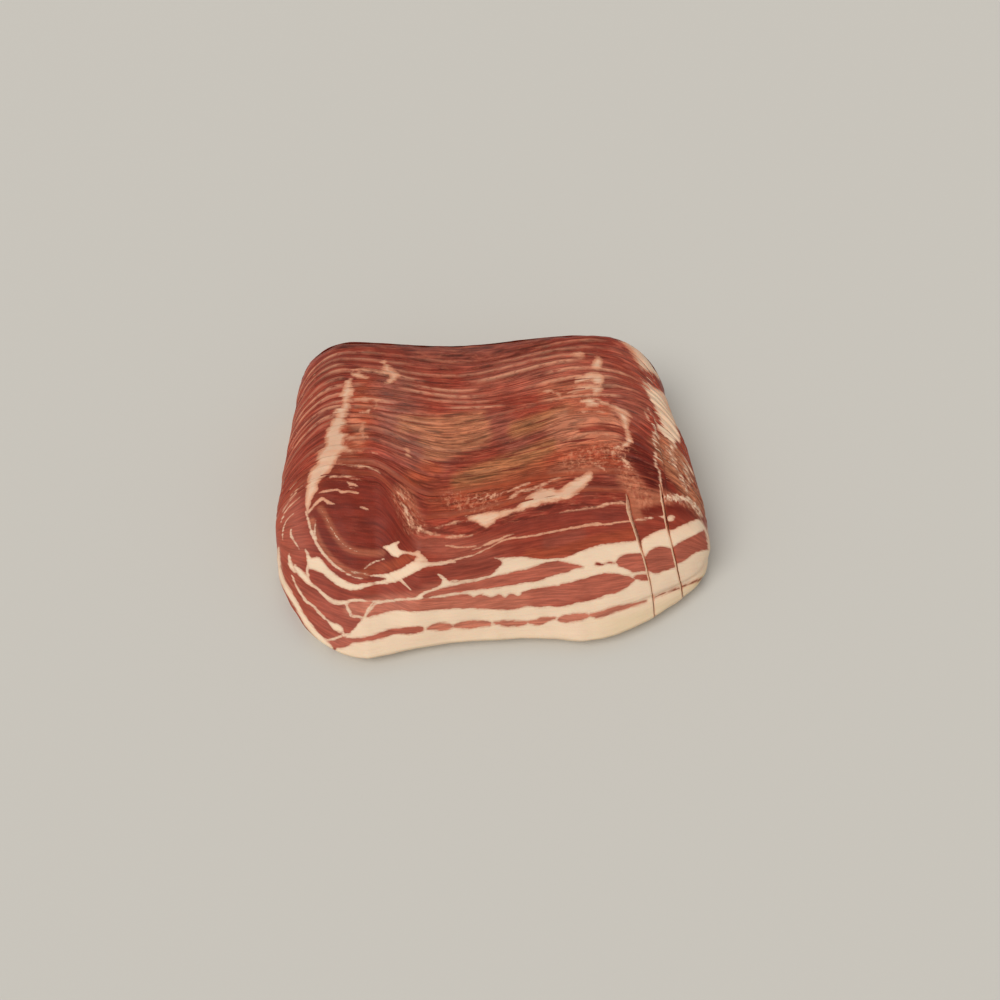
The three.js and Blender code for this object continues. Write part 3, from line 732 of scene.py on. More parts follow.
# Soft patches of lean: colour, strength, half width in pixels, points of the patch's middle line
TINT_REACH = 1.6
TINT_FADE = 1.2
FACE_TINTS = (
    (ROSE, 0.35, 26, ((300, 590), (320, 610), (340, 625))),
    (ROSE, 0.5, 18, ((286, 505), (288, 525), (292, 545))),
    (DARK, 0.95, 38, ((350, 506), (368, 520), (385, 532))),
    (DARK, 0.8, 9, ((318, 514), (328, 537), (342, 556), (360, 566))),
    (ORANGE, 0.8, 5, ((365, 571), (385, 567), (400, 562), (410, 556))),
    (PEACH, 0.6, 3.5,
     ((321, 509), (327, 520), (334, 533), (343, 545), (354, 551), (368, 553), (382, 553))),
    (DARK, 0.8, 6, ((318, 520), (326, 540), (340, 556), (358, 566))),
    (PEACH, 0.6, 3, ((312, 520), (316, 534), (323, 548), (334, 561), (350, 572), (366, 575))),
    (ORANGE, 0.7, 4, ((308, 560), (325, 575), (345, 592), (372, 593), (400, 590))),
    (RED, 0.8, 9, ((345, 595), (365, 594), (400, 590), (418, 588))),
    (ROSE, 0.5, 12, ((425, 540), (445, 546), (475, 552), (500, 548))),
    (DEEP, 0.8, 12, ((500, 520), (540, 515), (580, 512), (620, 514))),
    (RED, 0.6, 9, ((500, 548), (530, 545), (560, 541), (595, 534))),
    (ORANGE, 0.7, 6, ((530, 555), (556, 553), (578, 546), (604, 539), (632, 534))),
    (GREY_PURPLE, 0.4, 8, ((452, 570), (474, 566), (494, 563))),
    (GREY_PURPLE, 0.4, 6, ((548, 543), (566, 538), (580, 534))),
    (DEEP, 0.5, 8, ((452, 570), (480, 565), (500, 560))),
    (DEEP, 0.5, 9, ((408, 583), (424, 580), (434, 581))),
    (ROSE, 0.95, 9, ((372, 608), (400, 605), (450, 602), (500, 602), (540, 598))),
    (PINK, 0.4, 9, ((372, 606), (400, 603), (440, 602), (490, 602), (526, 600))),
    (ROSE, 0.95, 12, ((540, 598), (570, 592), (600, 586), (632, 580))),
    (ROSE, 0.9, 9, ((428, 594), (470, 587), (520, 576), (560, 568), (584, 567))),
    (PINK, 0.8, 7, ((430, 628), (480, 624), (560, 619), (600, 613), (645, 602))),
    (ROSE, 0.8, 6, ((332, 643), (360, 640), (400, 631), (424, 629))),
    (ROSE, 0.9, 14, ((622, 562), (645, 562))),
    (PINK, 0.6, 8, ((352, 608), (364, 609))),
    (RED, 0.7, 12, ((312, 574), (322, 582), (338, 592))),
)
SIDE_TINTS = (
    (PEACH, 0.95, 10, ((632, 504), (648, 502), (662, 501))),
    (DARK, 1.0, 5, ((645, 512.5), (656, 509.5), (672, 509), (690, 514))),
    (PEACH, 0.8, 4, ((634, 510), (638, 516), (642, 520))),
    (RED, 0.6, 8, ((645, 526), (665, 523), (690, 521))),
    (ROSE, 0.9, 16, ((650, 560), (675, 560))),
    (ROSE, 0.8, 14, ((680, 552), (705, 540))),
    # Painted shade along the crease, in tan and dark brown
    (TAN, 0.9, 5, ((652, 598), (683, 586.5), (710, 575))),
    (DARK_BROWN, 0.6, 3, ((652, 598), (683, 586.5), (710, 575))),
)
TOP_TINTS = (
    (DEEP, 0.9, 14, ((330, 350), (400, 350), (470, 352), (560, 344), (620, 345))),
    # A darker band along the back top edge
    (DARK_BROWN, 0.6, 9, ((330, 344), (400, 345), (470, 347), (540, 341))),
    (DEEP, 0.8, 14, ((326, 366), (340, 366), (372, 364), (400, 366))),
    (DEEP, 0.7, 8, ((334, 384), (328, 400), (320, 420), (314, 440))),
    (ROSE, 0.6, 9, ((450, 398), (480, 392), (505, 387), (535, 384))),
    (ORANGE, 0.85, 12, ((366, 394), (364, 410), (358, 430), (356, 446), (346, 458))),
    (PALE, 0.55, 6, ((352, 421), (362, 428), (360, 440))),
    (ORANGE, 0.6, 8, ((325, 486), (316, 497), (314, 504))),
    (PEACH, 0.5, 8, ((330, 462), (340, 457), (346, 452))),
    # Grey-purple patches here and further down: partly the lean's own colour, partly a painted sheen
    (GREY_PURPLE, 0.95, 22, ((394, 394), (400, 420), (412, 440), (430, 456))),
    (GREY_PURPLE, 0.45, 12, ((420, 356), (450, 358), (480, 356), (540, 366))),
    (GREY_PURPLE, 0.5, 9, ((470, 376), (520, 372), (556, 380))),
    (DARK, 0.85, 20, ((345, 476), (370, 482), (372, 498))),
    (DEEP, 0.6, 16, ((390, 476), (410, 486), (430, 492))),
    (GREY_PURPLE, 0.75, 16, ((482, 425), (505, 430), (525, 445), (545, 442))),
    (DEEP, 0.8, 8, ((540, 444), (553, 440), (556, 436))),
    (TAN, 0.85, 9, ((406, 424), (440, 424), (478, 420))),
    (TAN, 0.8, 9, ((430, 440), (460, 438), (484, 436))),
    (TAN, 0.75, 8, ((432, 456), (455, 448), (476, 442))),
    (OLIVE, 0.85, 8, ((518, 430), (535, 424), (556, 416), (566, 412))),
    (OLIVE, 0.85, 9, ((460, 484), (480, 474), (502, 466), (530, 456), (552, 446))),
    (OLIVE, 0.6, 8, ((480, 488), (510, 478), (540, 464))),
    (ORANGE, 0.8, 10, ((412, 480), (426, 474), (436, 470))),
    (ORANGE, 0.7, 14, ((440, 500), (470, 500), (500, 492), (530, 480), (560, 466))),
    (PEACH, 0.6, 10, ((402, 496), (408, 510), (412, 524))),
    (ROSE, 0.7, 12, ((560, 366), (580, 372), (600, 372))),
    (PEACH, 0.6, 12, ((552, 392), (580, 392), (572, 410))),
    (PALE, 0.7, 12, ((564, 422), (590, 417), (614, 421))),
    (ORANGE, 0.5, 4, ((572, 411), (590, 409), (608, 412))),
    (PALE, 0.7, 9, ((556, 430), (570, 434), (584, 430))),
    (PALE, 0.75, 8, ((566, 444), (590, 438), (614, 441))),
    (RED, 0.9, 2.5, ((582, 430), (602, 427.5), (622, 431))),
    (ORANGE, 0.75, 14, ((572, 458), (596, 454), (612, 456))),
    (PEACH, 0.7, 8, ((556, 474), (572, 466), (590, 468))),
    (GREY_PURPLE, 0.5, 9, ((590, 494), (604, 484), (616, 478))),
    (DARK, 0.7, 9, ((596, 486), (612, 492), (600, 500))),
    (RED, 0.6, 8, ((566, 508), (590, 503), (618, 499))),
    (GREY_PURPLE, 0.6, 14, ((600, 380), (620, 394), (638, 410))),
    (ROSE, 0.4, 8, ((618, 350), (634, 366), (648, 382))),
    (DARKEST, 1.0, 12, ((634, 450), (644, 460), (652, 472), (658, 486))),
    (DARK, 0.9, 5, ((664, 472), (674, 484), (684, 494))),
    (PEACH, 0.95, 9, ((627, 478), (634, 488), (642, 498), (652, 503))),
    (TAN, 0.9, 9, ((670, 452), (680, 470), (690, 490), (698, 506))),
    (TAN, 0.7, 8, ((660, 440), (668, 456), (676, 470))),
)

# What the slices in front have beside the marbling and tints of the top
BESIDE_SHORT_END = {1: SIDE_MARBLING, 2: THIRD_MARBLING}
BESIDE_FROM = 500.0                # pixels down the picture
FACE_AND_SIDE_TINTS = {0: FACE_TINTS, 1: SIDE_TINTS, 2: SIDE_TINTS}

# Torn, craggy parts: half width in pixels, points of the part's middle line
TORN_PARTS = (
    (14, ((402, 496), (408, 512), (414, 526))),
    (12, ((624, 468), (634, 486), (646, 500))),
    (16, ((572, 462), (596, 455), (618, 452))),
    (9, ((668, 450), (682, 476), (694, 500))),
    (14, ((452, 500), (475, 503), (490, 500))),
    (8, ((664, 499), (680, 499), (697, 509))),
)
TORN_FADE = 1.6


def paint_depth(places, shapes):
    """Depth inside fat, in pixels, once all the shapes are drawn one over the other."""
    depth = np.full(len(places), FAR)
    for kind, _, widths, points in shapes:
        if widths is None:
            drawn = outline_depth(places, points)
        else:
            drawn = stroke_depth(places, points, widths)
        depth = np.maximum(depth, drawn) if kind == "fat" else np.minimum(depth, -drawn)
    return depth


def paint_tints(places, base, tints):
    """Colour of the lean, from soft patches laid one over the other."""
    colour = np.tile(linear(base), (len(places), 1))
    for tint, strength, half, points in tints:
        line = curved(points, closed=False)
        close = near_box(places, line, TINT_REACH * half)
        if len(close) == 0:
            continue
        distance, _ = line_distance(places[close], line)
        share = strength * smooth((TINT_REACH * half - distance) / (TINT_FADE * half))
        colour[close] = mix(colour[close], linear(tint), share[:, None])
    return colour


WAVES = {"count": 7, "shortest": 0.75, "longest": 1.4, "shared_by": 3.0}


def waves(points, length, salt):
    """A smooth field from about -1 to 1, whose lumps have the given length in millimetres."""
    rng = np.random.default_rng(salt)
    total = np.zeros(len(points))
    for _ in range(WAVES["count"]):
        way = rng.normal(size=3)
        way /= np.linalg.norm(way)
        turn = rng.uniform(0.0, 2.0 * math.pi)
        step = 2.0 * math.pi / (length * rng.uniform(WAVES["shortest"], WAVES["longest"]))
        total += np.sin(points @ way * step + turn)
    return total / WAVES["shared_by"]


def lumps(points, length, salt):
    """Uneven lumps and hollows, from a noise with two finer steps."""
    shift = Vector((salt * 7.3, salt * 3.1, salt * 5.7))
    return np.array([noise.fractal(Vector(p) / length + shift, 1.0, 2.0, 3) for p in points.tolist()])


# The layers on the sides that turn away: kind, height of the layer's middle, half height
SIDE_LAYERS = (("fat", 3.0, 7.0), ("lean", 10.5, 1.6), ("fat", 14.5, 2.6), ("lean", 20.0, 3.4),
               ("fat", 25.0, 1.6), ("lean", 31.0, 4.6), ("fat", 36.5, 0.5))
LAYER_SWAY = {"height": 1.6, "length": 23.0}
LAYER_WAVES = ((1.1, 17.0, 0.4, 11), (0.5, 5.0, 0.5, 12))          # height, length, squash, salt
LAYER_DROPS = ((9.0, 1.0, 70.0, 40.0), (5.0, -1.0, 85.0, 25.0))    # drop, side, start, over
LAYER_SWELL = {"share": 0.5, "length": 24.0, "salt": 20}
SIDE_SEAMS = ((20.5, 0.6, 51), (30.0, -0.8, 61), (41.0, 0.5, 71))  # height, slope, salt
SIDE_SEAM_WANDER = {"height": 2.2, "length": 30.0, "slope_length": 40.0}
SIDE_SEAM_HALF = {"height": 0.75, "length": 19.0, "salt": 5}
RIGHT_CAP = {"half": 5.0, "start": 78.0, "over": 16.0, "thinner": 1.0, "height": 42.0}
ALONG_LAYERS = (1.0, 1.0, 0.2)     # waves that run with the layers are stretched upwards
DEPTH_LIMIT = 4.0                  # millimetres: how deep inside or outside fat is told apart


def layer_heights(points):
    """Height of each point among the layers, which sway and drop towards both ends."""
    x, y, z = points[:, 0], points[:, 1], points[:, 2]
    height = z + LAYER_SWAY["height"] * np.sin((x + y) / LAYER_SWAY["length"])
    for high, length, squash, salt in LAYER_WAVES:
        height = height + high * waves(points * (1.0, 1.0, squash), length, salt)
    for drop, side, start, over in LAYER_DROPS:
        height = height - drop * smooth((side * x - start) / over)
    return height


def layer_depth(points):
    """Depth inside fat, in millimetres, on the sides: layers that follow the belly's length."""
    x, y = points[:, 0], points[:, 1]
    height = layer_heights(points)
    stretched = points * ALONG_LAYERS
    depth = np.full(len(points), -2.0 * DEPTH_LIMIT)
    for kind, middle, half in SIDE_LAYERS:
        salt = LAYER_SWELL["salt"] + int(middle)
        swell = 1.0 + LAYER_SWELL["share"] * waves(stretched, LAYER_SWELL["length"], salt)
        drawn = half * swell - np.abs(height - middle)
        depth = np.maximum(depth, drawn) if kind == "fat" else np.minimum(depth, -drawn)
    # Thin seams of fat that wander through the lean and fade out
    for middle, slope, salt in SIDE_SEAMS:
        wander = (middle + slope * (x + y) / SIDE_SEAM_WANDER["slope_length"]
                  + SIDE_SEAM_WANDER["height"] * waves(stretched, SIDE_SEAM_WANDER["length"], salt))
        half = SIDE_SEAM_HALF["height"] * waves(stretched, SIDE_SEAM_HALF["length"],
                                                salt + SIDE_SEAM_HALF["salt"])
        depth = np.maximum(depth, half - np.abs(height - wander))
    right_cap = (RIGHT_CAP["half"] * smooth((x - RIGHT_CAP["start"]) / RIGHT_CAP["over"])
                 - RIGHT_CAP["thinner"] - np.abs(height - RIGHT_CAP["height"]))
    return np.maximum(depth, right_cap)


def facing_camera(points, normals):
    eye, _ = camera_place()
    way = eye - points
    return np.sum(normals * way, axis=1) / np.linalg.norm(way, axis=1)


def mesh_values(mesh, name, size):
    values = np.empty(len(mesh.vertices) * size)
    mesh.vertices.foreach_get(name, values)
    return values.reshape(-1, size)


def add_values(mesh, name, kind, values):
    layer = mesh.attributes.new(name, kind, "POINT")
    field = {"FLOAT": "value", "FLOAT_VECTOR": "vector", "FLOAT_COLOR": "color"}[kind]
    layer.data.foreach_set(field, np.ascontiguousarray(values, dtype=np.float32).ravel())


def node_name(k):
    return "uncut_end" if k == SLICES else f"slice_{k + 1:02d}"


def plate_mesh(k):
    if k < len(FRONT_ROWS):
        rows, layers = FRONT_ROWS[k], TOP_LAYERS[k]
    elif k == SLICES:
        rows, layers = END_ROWS, END_LAYERS
    else:
        rows, layers = HIDDEN_ROWS, HIDDEN_TOP_LAYERS
    plate = flat_plate(FACE_COLUMNS, rows, layers)
    mesh = bpy.data.meshes.new(node_name(k) + "_meat")
    plate.to_mesh(mesh)
    plate.free()
    return mesh


# Where the drawn marbling passes into the side layers
AWAY = {"more": 0.02, "over": 0.16, "face": 0.02}


class Piece:
    """A slice or the uncut end while it is made: its mesh, and what is known at each point."""

    def __init__(self, k):
        self.k = k
        self.last = k == SLICES
        self.face_shows = k < len(FRONT_ROWS)
        self.mesh = plate_mesh(k)
        self.along, self.up, self.through = mesh_values(self.mesh, "co", 3).T
        power = SHOWN_ROW_POWER if self.face_shows or self.last else HIDDEN_ROW_POWER
        self.share = 1.0 - (1.0 - self.up) ** power
        if self.last:
            front, back = end_points(self.along, self.share)
        else:
            front, back = slice_points(k, self.along, self.share)
        self.width = np.linalg.norm(back - front, axis=1)
        self.across = self.through * self.width
        self.rim = np.where(self.up > NEAR_ONE, 1.0, 0.0)
        # In the pile's own millimetres, and then in the frame's
        self.bent = mix(front, back, self.through[:, None])
        self.bent[:, 2] += self.rim * self.rim_lift()
        self.points = self.bent - (MIDDLE[0], MIDDLE[1], 0.0)
        self.place(self.points)
        self.normals = self.outward_normals()
        self.places = picture_places(self.points)
        self.unseen = self.turned_away()

    def rim_lift(self):
        """The rim's section: a full front corner, a slight hollow, and a rounded back corner."""
        if self.last:
            return RIM["end"] * np.sin(math.pi * self.through) ** RIM["end_power"]
        corner = (np.sin(math.pi * clamp01(self.across / RIM["corner_width"]))
                  * np.exp(-self.across / RIM["corner_fade"]))
        back = smooth((self.across - self.width + RIM["back_width"]) / RIM["back_width"])
        return RIM["corner"] * corner - RIM["back"] * back

    def place(self, points):
        self.mesh.vertices.foreach_set("co", (points * MM).ravel())
        self.mesh.update()

    def outward_normals(self):
        normals = mesh_values(self.mesh, "normal", 3)
        front = (self.through < NEAR_ZERO) & (self.up > 0.3) & (self.up < 0.7)
        if np.mean(normals[front, 1]) > 0.0:
            self.mesh.flip_normals()
            self.mesh.update()
            normals = mesh_values(self.mesh, "normal", 3)
        return normals

    def turned_away(self):
        """From 0 where the drawn marbling shows to 1 on the sides that turn away."""
        facing = facing_camera(self.points, self.normals)
        away = 1.0 - smooth((facing + AWAY["more"]) / AWAY["over"])
        return np.where(self.through < AWAY["face"], 0.0, away) if self.face_shows else away


# How the marbling is laid on a piece
ROW_SHIFT = 6.0                    # pixels: the marbling shifts a little from slice to slice
SHORT_END_FAT = 1.6                # millimetres


def drawn_places(piece):
    shift = ROW_SHIFT * (chance(piece.k, 3.0) - 0.5) if piece.k > 2 else 0.0
    return piece.places + (shift, 0.0)


def fat_depth(piece):
    """Depth inside fat, in millimetres: as drawn where it shows, and in layers on the sides."""
    k = piece.k
    shapes = TOP_MARBLING if k > 0 else FACE_MARBLING + TOP_MARBLING
    fat = paint_depth(drawn_places(piece), shapes)
    if k in BESIDE_SHORT_END:
        fat = np.where(piece.places[:, 1] > BESIDE_FROM, FAR, fat)
        fat = np.maximum(fat, paint_depth(piece.places, BESIDE_SHORT_END[k]))
    fat = fat * PIXEL
    if k < len(SHORT_ENDS):
        # The short ends show their own narrow side, which is fat
        fat = np.where(piece.along > NEAR_ONE, SHORT_END_FAT, fat)
    side = layer_depth(piece.points)
    low, high = -DEPTH_LIMIT, DEPTH_LIMIT
    return mix(np.clip(fat, low, high), np.clip(side, low, high), piece.unseen)


# Painted shade in the seams beside the short ends: on the narrow side in shares of the
# thickness, and on the face behind it in millimetres past the short end
SEAM_SHADE_SIDE = {"start": 0.2, "over": 0.3}
SEAM_SHADE_FACE = {"until": 0.5, "over": 0.8, "through": 0.3, "top": 0.995}


def seam_painted_shade(piece):
    """Painted shade between a short end and the slice behind it, where little light gets in: the lean is
    painted more orange and the fat a darker pink.
    """
    k = piece.k
    seam = np.zeros(len(piece.points))
    if k < len(SHORT_ENDS):
        deep = smooth((piece.through - SEAM_SHADE_SIDE["start"]) / SEAM_SHADE_SIDE["over"])
        seam = np.where(piece.along > NEAR_ONE, deep, 0.0)
    if 0 < k <= len(SHORT_ENDS):
        past, _ = past_short_end(k, piece.bent[:, 0], piece.bent[:, 2])
        near = 1.0 - smooth((past - SEAM_SHADE_FACE["until"]) / SEAM_SHADE_FACE["over"])
        on_face = (piece.through < SEAM_SHADE_FACE["through"]) & (piece.up < SEAM_SHADE_FACE["top"])
        seam = np.maximum(seam, near * on_face)
    return seam


# Tones of the lean: on the sides, from slice to slice, and the painted shade in the seams
SIDE_LEAN = {"from": 24.0, "over": 20.0}
SLICE_SHADE = {"least": 0.88, "varies": 0.24}
SEAM_PAINTED_SHADE_AND_LIGHT = {"lean": 0.6, "fat": 0.7, "side": 0.85}


def lean_tones(piece, seam):
    k = piece.k
    tones = paint_tints(drawn_places(piece), RED, TOP_TINTS + FACE_AND_SIDE_TINTS.get(k, ()))
    low = smooth((SIDE_LEAN["from"] - piece.points[:, 2]) / SIDE_LEAN["over"])
    tones = mix(tones, mix(linear(DEEP), linear(ROSE), low[:, None]), piece.unseen[:, None])
    if k > 0:
        tones = tones * (SLICE_SHADE["least"] + SLICE_SHADE["varies"] * chance(k, 5.0))
    # Painted shade: the lean in the seams is painted more orange
    return mix(tones, linear(ORANGE), SEAM_PAINTED_SHADE_AND_LIGHT["lean"] * seam[:, None])


# Tones of the fat: creamy below, on the rind side; browner where the smoke reached, on top; painted
# yellowish shade below the crease
CREAMY = {"from": 30.0, "over": 14.0, "share": 0.6, "least": 0.15}
CREAMY_FACE = {"from": 41.0, "over": 9.0}
CREAMY_RIGHT = {"from": 632.0, "over": 20.0, "share": 0.75}
RIND_LIGHT = {"from": 11.0, "over": 7.0}
BROWNED = 0.55
UNDER_CREASE_SHADE = {"share": 0.8, "below": 0.5, "over": 3.0, "start": 40.0, "start_over": 30.0}


# Painted shade: the fat below the crease, which faces down, is painted a darker yellow
def under_crease_shade(points):
    x, z = points[:, 0], points[:, 2]
    line = CREASE["height"] + CREASE["slope"] * (x - CREASE["start"])
    return (smooth((line - z - UNDER_CREASE_SHADE["below"]) / UNDER_CREASE_SHADE["over"])
            * smooth((x - UNDER_CREASE_SHADE["start"]) / UNDER_CREASE_SHADE["start_over"]))


def fat_tones(piece, seam):
    k, z = piece.k, piece.points[:, 2]
    if piece.face_shows:
        creamy = smooth((CREAMY_FACE["from"] - z) / CREAMY_FACE["over"])
    else:
        creamy = CREAMY["share"] * smooth((CREAMY["from"] - z) / CREAMY["over"])
    rightward = smooth((piece.places[:, 0] - CREAMY_RIGHT["from"]) / CREAMY_RIGHT["over"])
    right = CREAMY_RIGHT["share"] * rightward
    creamy = np.maximum(np.maximum(creamy, right), CREAMY["least"])
    tones = mix(linear(TAN_FAT), linear(CREAM), creamy[:, None])
    low = smooth((RIND_LIGHT["from"] - z) / RIND_LIGHT["over"])
    tones = mix(tones, linear(RIND_FAT), low[:, None])
    if not piece.face_shows:
        browned = BROWNED * chance(k, 17.0) * (1.0 - right) * (1.0 - piece.unseen)
        tones = mix(tones, linear(PEACH), browned[:, None])
    # Painted yellowish shade below the crease
    tones = mix(tones, linear(CREASE_SHADE_YELLOW), UNDER_CREASE_SHADE["share"] * under_crease_shade(piece.points)[:, None])
    # Painted light: the short ends' narrow side, which lies in shade, is painted a saturated pink so that
    # it shows as a warm lit line
    if k < len(SHORT_ENDS):
        side = np.where(piece.along > NEAR_ONE, SEAM_PAINTED_SHADE_AND_LIGHT["side"], 0.0)
        tones = mix(tones, linear(NARROW_SIDE_PAINTED_LIGHT), side[:, None])
    # Painted shade: the fat in the seams is painted a darker pink
    return mix(tones, linear(PALE), SEAM_PAINTED_SHADE_AND_LIGHT["fat"] * seam[:, None])


def torn_share(places):
    total = np.zeros(len(places))
    for half, points in TORN_PARTS:
        line = curved(points, closed=False)
        close = near_box(places, line, half)
        if len(close):
            distance, _ = line_distance(places[close], line)
            torn = smooth(TORN_FADE * (half - distance) / half)
            total[close] = np.maximum(total[close], torn)
    return total


def free_of_neighbours(piece):
    """1 where relief may go, and 0 on the faces that lie against a neighbour."""
    hidden_front = (piece.through < NEAR_ZERO) & (not piece.face_shows) & (piece.share < BELOW_RIM)
    hidden_back = (piece.through > NEAR_ONE) & (not piece.last)
    return np.where(hidden_front | hidden_back, 0.0, 1.0)


def add_relief(piece, fat, torn):
    """The whole face swells and dips, fat stands a little proud, and torn parts are craggy."""
    points = piece.points
    relief = (SWELLS["high"] * waves(points, SWELLS["length"], 5)
              + SWELLS["fine_high"] * waves(points, SWELLS["fine_length"], 6 + piece.k)
              + PROUD_FAT["high"] * smooth((fat - PROUD_FAT["start"]) / PROUD_FAT["over"]))
    if np.any(torn > 0.01):
        relief = relief + torn * CRAGS["high"] * lumps(points, CRAGS["length"], 2.0)
    raised = points + piece.normals * (relief * free_of_neighbours(piece))[:, None]
    raised[:, 2] = np.maximum(raised[:, 2], 0.0)
    piece.place(raised)


# Fibres: how far apart they lie across the slices and down the faces
GRAIN = {"slice": 6.0, "down": 1.3, "face": 72.0, "face_from": 40.0, "turn": 0.05}


def grain_places(piece):
    """Where each point lies in the fibres, which run along the slice."""
    x, level = piece.points[:, 0], np.zeros(len(piece.points))
    below = np.where(piece.rim > 0.5, 0.0, 1.0 - piece.share) * EDGE_HEIGHT
    top = np.stack([x, (piece.k + piece.through) * GRAIN["slice"] - GRAIN["down"] * below, level], axis=1)
    if not piece.face_shows:
        return top
    face = np.stack([x, GRAIN["face"] * piece.share + GRAIN["face_from"], level], axis=1)
    return mix(face, top, smooth(piece.through / GRAIN["turn"])[:, None])


# Painted light: pale lines along the cut corners as highlights, and dark lines in the grooves behind the
# rims as shade
FACE_LENGTH = 46.0
CORNER_HIGHLIGHT = {"salt": 40, "length": 60.0, "across": 0.55, "down": 0.6, "reach": 4.0,
               "least": 0.3, "varies": 0.7, "from": -0.3, "over": 0.8}
CORNER_HIGHLIGHT_FRONT = {"share": 0.35, "until": 7.0, "over": 3.0}
CORNER_HIGHLIGHT_LEFT = {"until": 348.0, "over": 12.0, "from": -0.9, "from_over": 0.9, "odd": 0.9,
                    "even": 0.35}
NO_CORNER_HIGHLIGHT = {"right_of": 620.0, "below": 415.0, "over": 14.0}
GROOVE_SHADE = {"wide": 0.7, "least": 0.35, "varies": 0.65}


# Painted highlight: a pale line along each slice's front corner, where the cut corner catches the light
def painted_corner_highlight(piece):
    k, u, v = piece.k, piece.places[:, 0], piece.places[:, 1]
    if k == 0:
        return np.zeros(len(u))
    wander = waves(piece.points * (1.0, 0.1, 0.1), CORNER_HIGHLIGHT["length"], CORNER_HIGHLIGHT["salt"] + k)
    by_row = mix(CORNER_HIGHLIGHT_FRONT["share"], 1.0,
                 smooth((k - CORNER_HIGHLIGHT_FRONT["until"]) / CORNER_HIGHLIGHT_FRONT["over"]))
    by_row = by_row * (CORNER_HIGHLIGHT["least"] + CORNER_HIGHLIGHT["varies"] * chance(k, 9.0))
    strength = by_row * smooth((wander - CORNER_HIGHLIGHT["from"]) / CORNER_HIGHLIGHT["over"])
    if k > 1:
        left = CORNER_HIGHLIGHT_LEFT
        leftward = (smooth((left["until"] - u) / left["over"])
                    * smooth((wander - left["from"]) / left["from_over"]))
        strength = np.maximum(strength, leftward * (left["odd"] if k % 2 else left["even"]))
    away = np.where(piece.rim > 0.5, piece.across, -(1.0 - piece.share) * FACE_LENGTH)
    scale = np.where(away > 0.0, CORNER_HIGHLIGHT["across"], CORNER_HIGHLIGHT["down"])
    light = strength * np.exp(-(away / scale) ** 2)
    bare = (smooth((u - NO_CORNER_HIGHLIGHT["right_of"]) / NO_CORNER_HIGHLIGHT["over"])
            * smooth((v - NO_CORNER_HIGHLIGHT["below"]) / NO_CORNER_HIGHLIGHT["over"]))
    light = light * (1.0 - bare) * (1.0 - piece.unseen)
    return np.where((piece.up < 0.5) | (away < -CORNER_HIGHLIGHT["reach"]), 0.0, light)


# Painted shade: a dark line along the back of each slice's rim, where the slice behind stands proud
def groove_painted_shade(piece):
    if piece.last:
        return np.zeros(len(piece.points))
    depth = GROOVE_SHADE["least"] + GROOVE_SHADE["varies"] * chance(piece.k, 13.0)
    line = np.exp(-((piece.width - piece.across) / GROOVE_SHADE["wide"]) ** 2)
    return piece.rim * line * depth * (1.0 - piece.unseen)


STRIPED = {"least": 0.25, "varies": 0.75, "turn": 0.04}


def striped_share(piece):
    on_top = smooth(piece.through / STRIPED["turn"]) if piece.face_shows else 1.0
    return STRIPED["least"] + STRIPED["varies"] * on_top * (1.0 - piece.unseen)


def with_alpha(tones):
    return np.hstack([tones, np.ones((len(tones), 1))])


def make_piece(k, meat):
    piece = Piece(k)
    fat = fat_depth(piece)
    torn = torn_share(piece.places)
    # Painted shade in the seams beside the short ends
    seam = seam_painted_shade(piece)
    add_relief(piece, fat, torn)
    mesh = piece.mesh
    add_values(mesh, "fat", "FLOAT", fat)
    add_values(mesh, "lean_tone", "FLOAT_COLOR", with_alpha(lean_tones(piece, seam)))
    add_values(mesh, "fat_tone", "FLOAT_COLOR", with_alpha(fat_tones(piece, seam)))
    add_values(mesh, "grain", "FLOAT_VECTOR", grain_places(piece))
    add_values(mesh, "painted_corner_highlight", "FLOAT", painted_corner_highlight(piece))
    add_values(mesh, "groove_shade", "FLOAT", groove_painted_shade(piece))
    add_values(mesh, "ragged", "FLOAT", torn)
    add_values(mesh, "striped", "FLOAT", striped_share(piece))
    mesh.polygons.foreach_set("use_smooth", np.ones(len(mesh.polygons), dtype=bool))
    mesh.materials.append(meat)
    body = bpy.data.objects.new(mesh.name, mesh)
    bpy.context.scene.collection.objects.link(body)
    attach(body, "root")
    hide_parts(node_name(k))


class Value:
    """A socket that can be used in sums. Each operator adds a Math node to its tree."""

    def __init__(self, tree, socket):
        self.tree = tree
        self.socket = socket

    def math(self, operation, *others):
        node = self.tree.nodes.new("ShaderNodeMath")
        node.operation = operation
        for slot, value in zip(node.inputs, others):
            if isinstance(value, Value):
                self.tree.links.new(value.socket, slot)
            else:
                slot.default_value = value
        return Value(self.tree, node.outputs[0])

    def __add__(self, other):
        return self.math("ADD", self, other)

    def __radd__(self, other):
        return self.math("ADD", other, self)

    def __sub__(self, other):
        return self.math("SUBTRACT", self, other)

    def __rsub__(self, other):
        return self.math("SUBTRACT", other, self)

    def __mul__(self, other):
        return self.math("MULTIPLY", self, other)

    def __rmul__(self, other):
        return self.math("MULTIPLY", other, self)

    def __abs__(self):
        return self.math("ABSOLUTE", self)


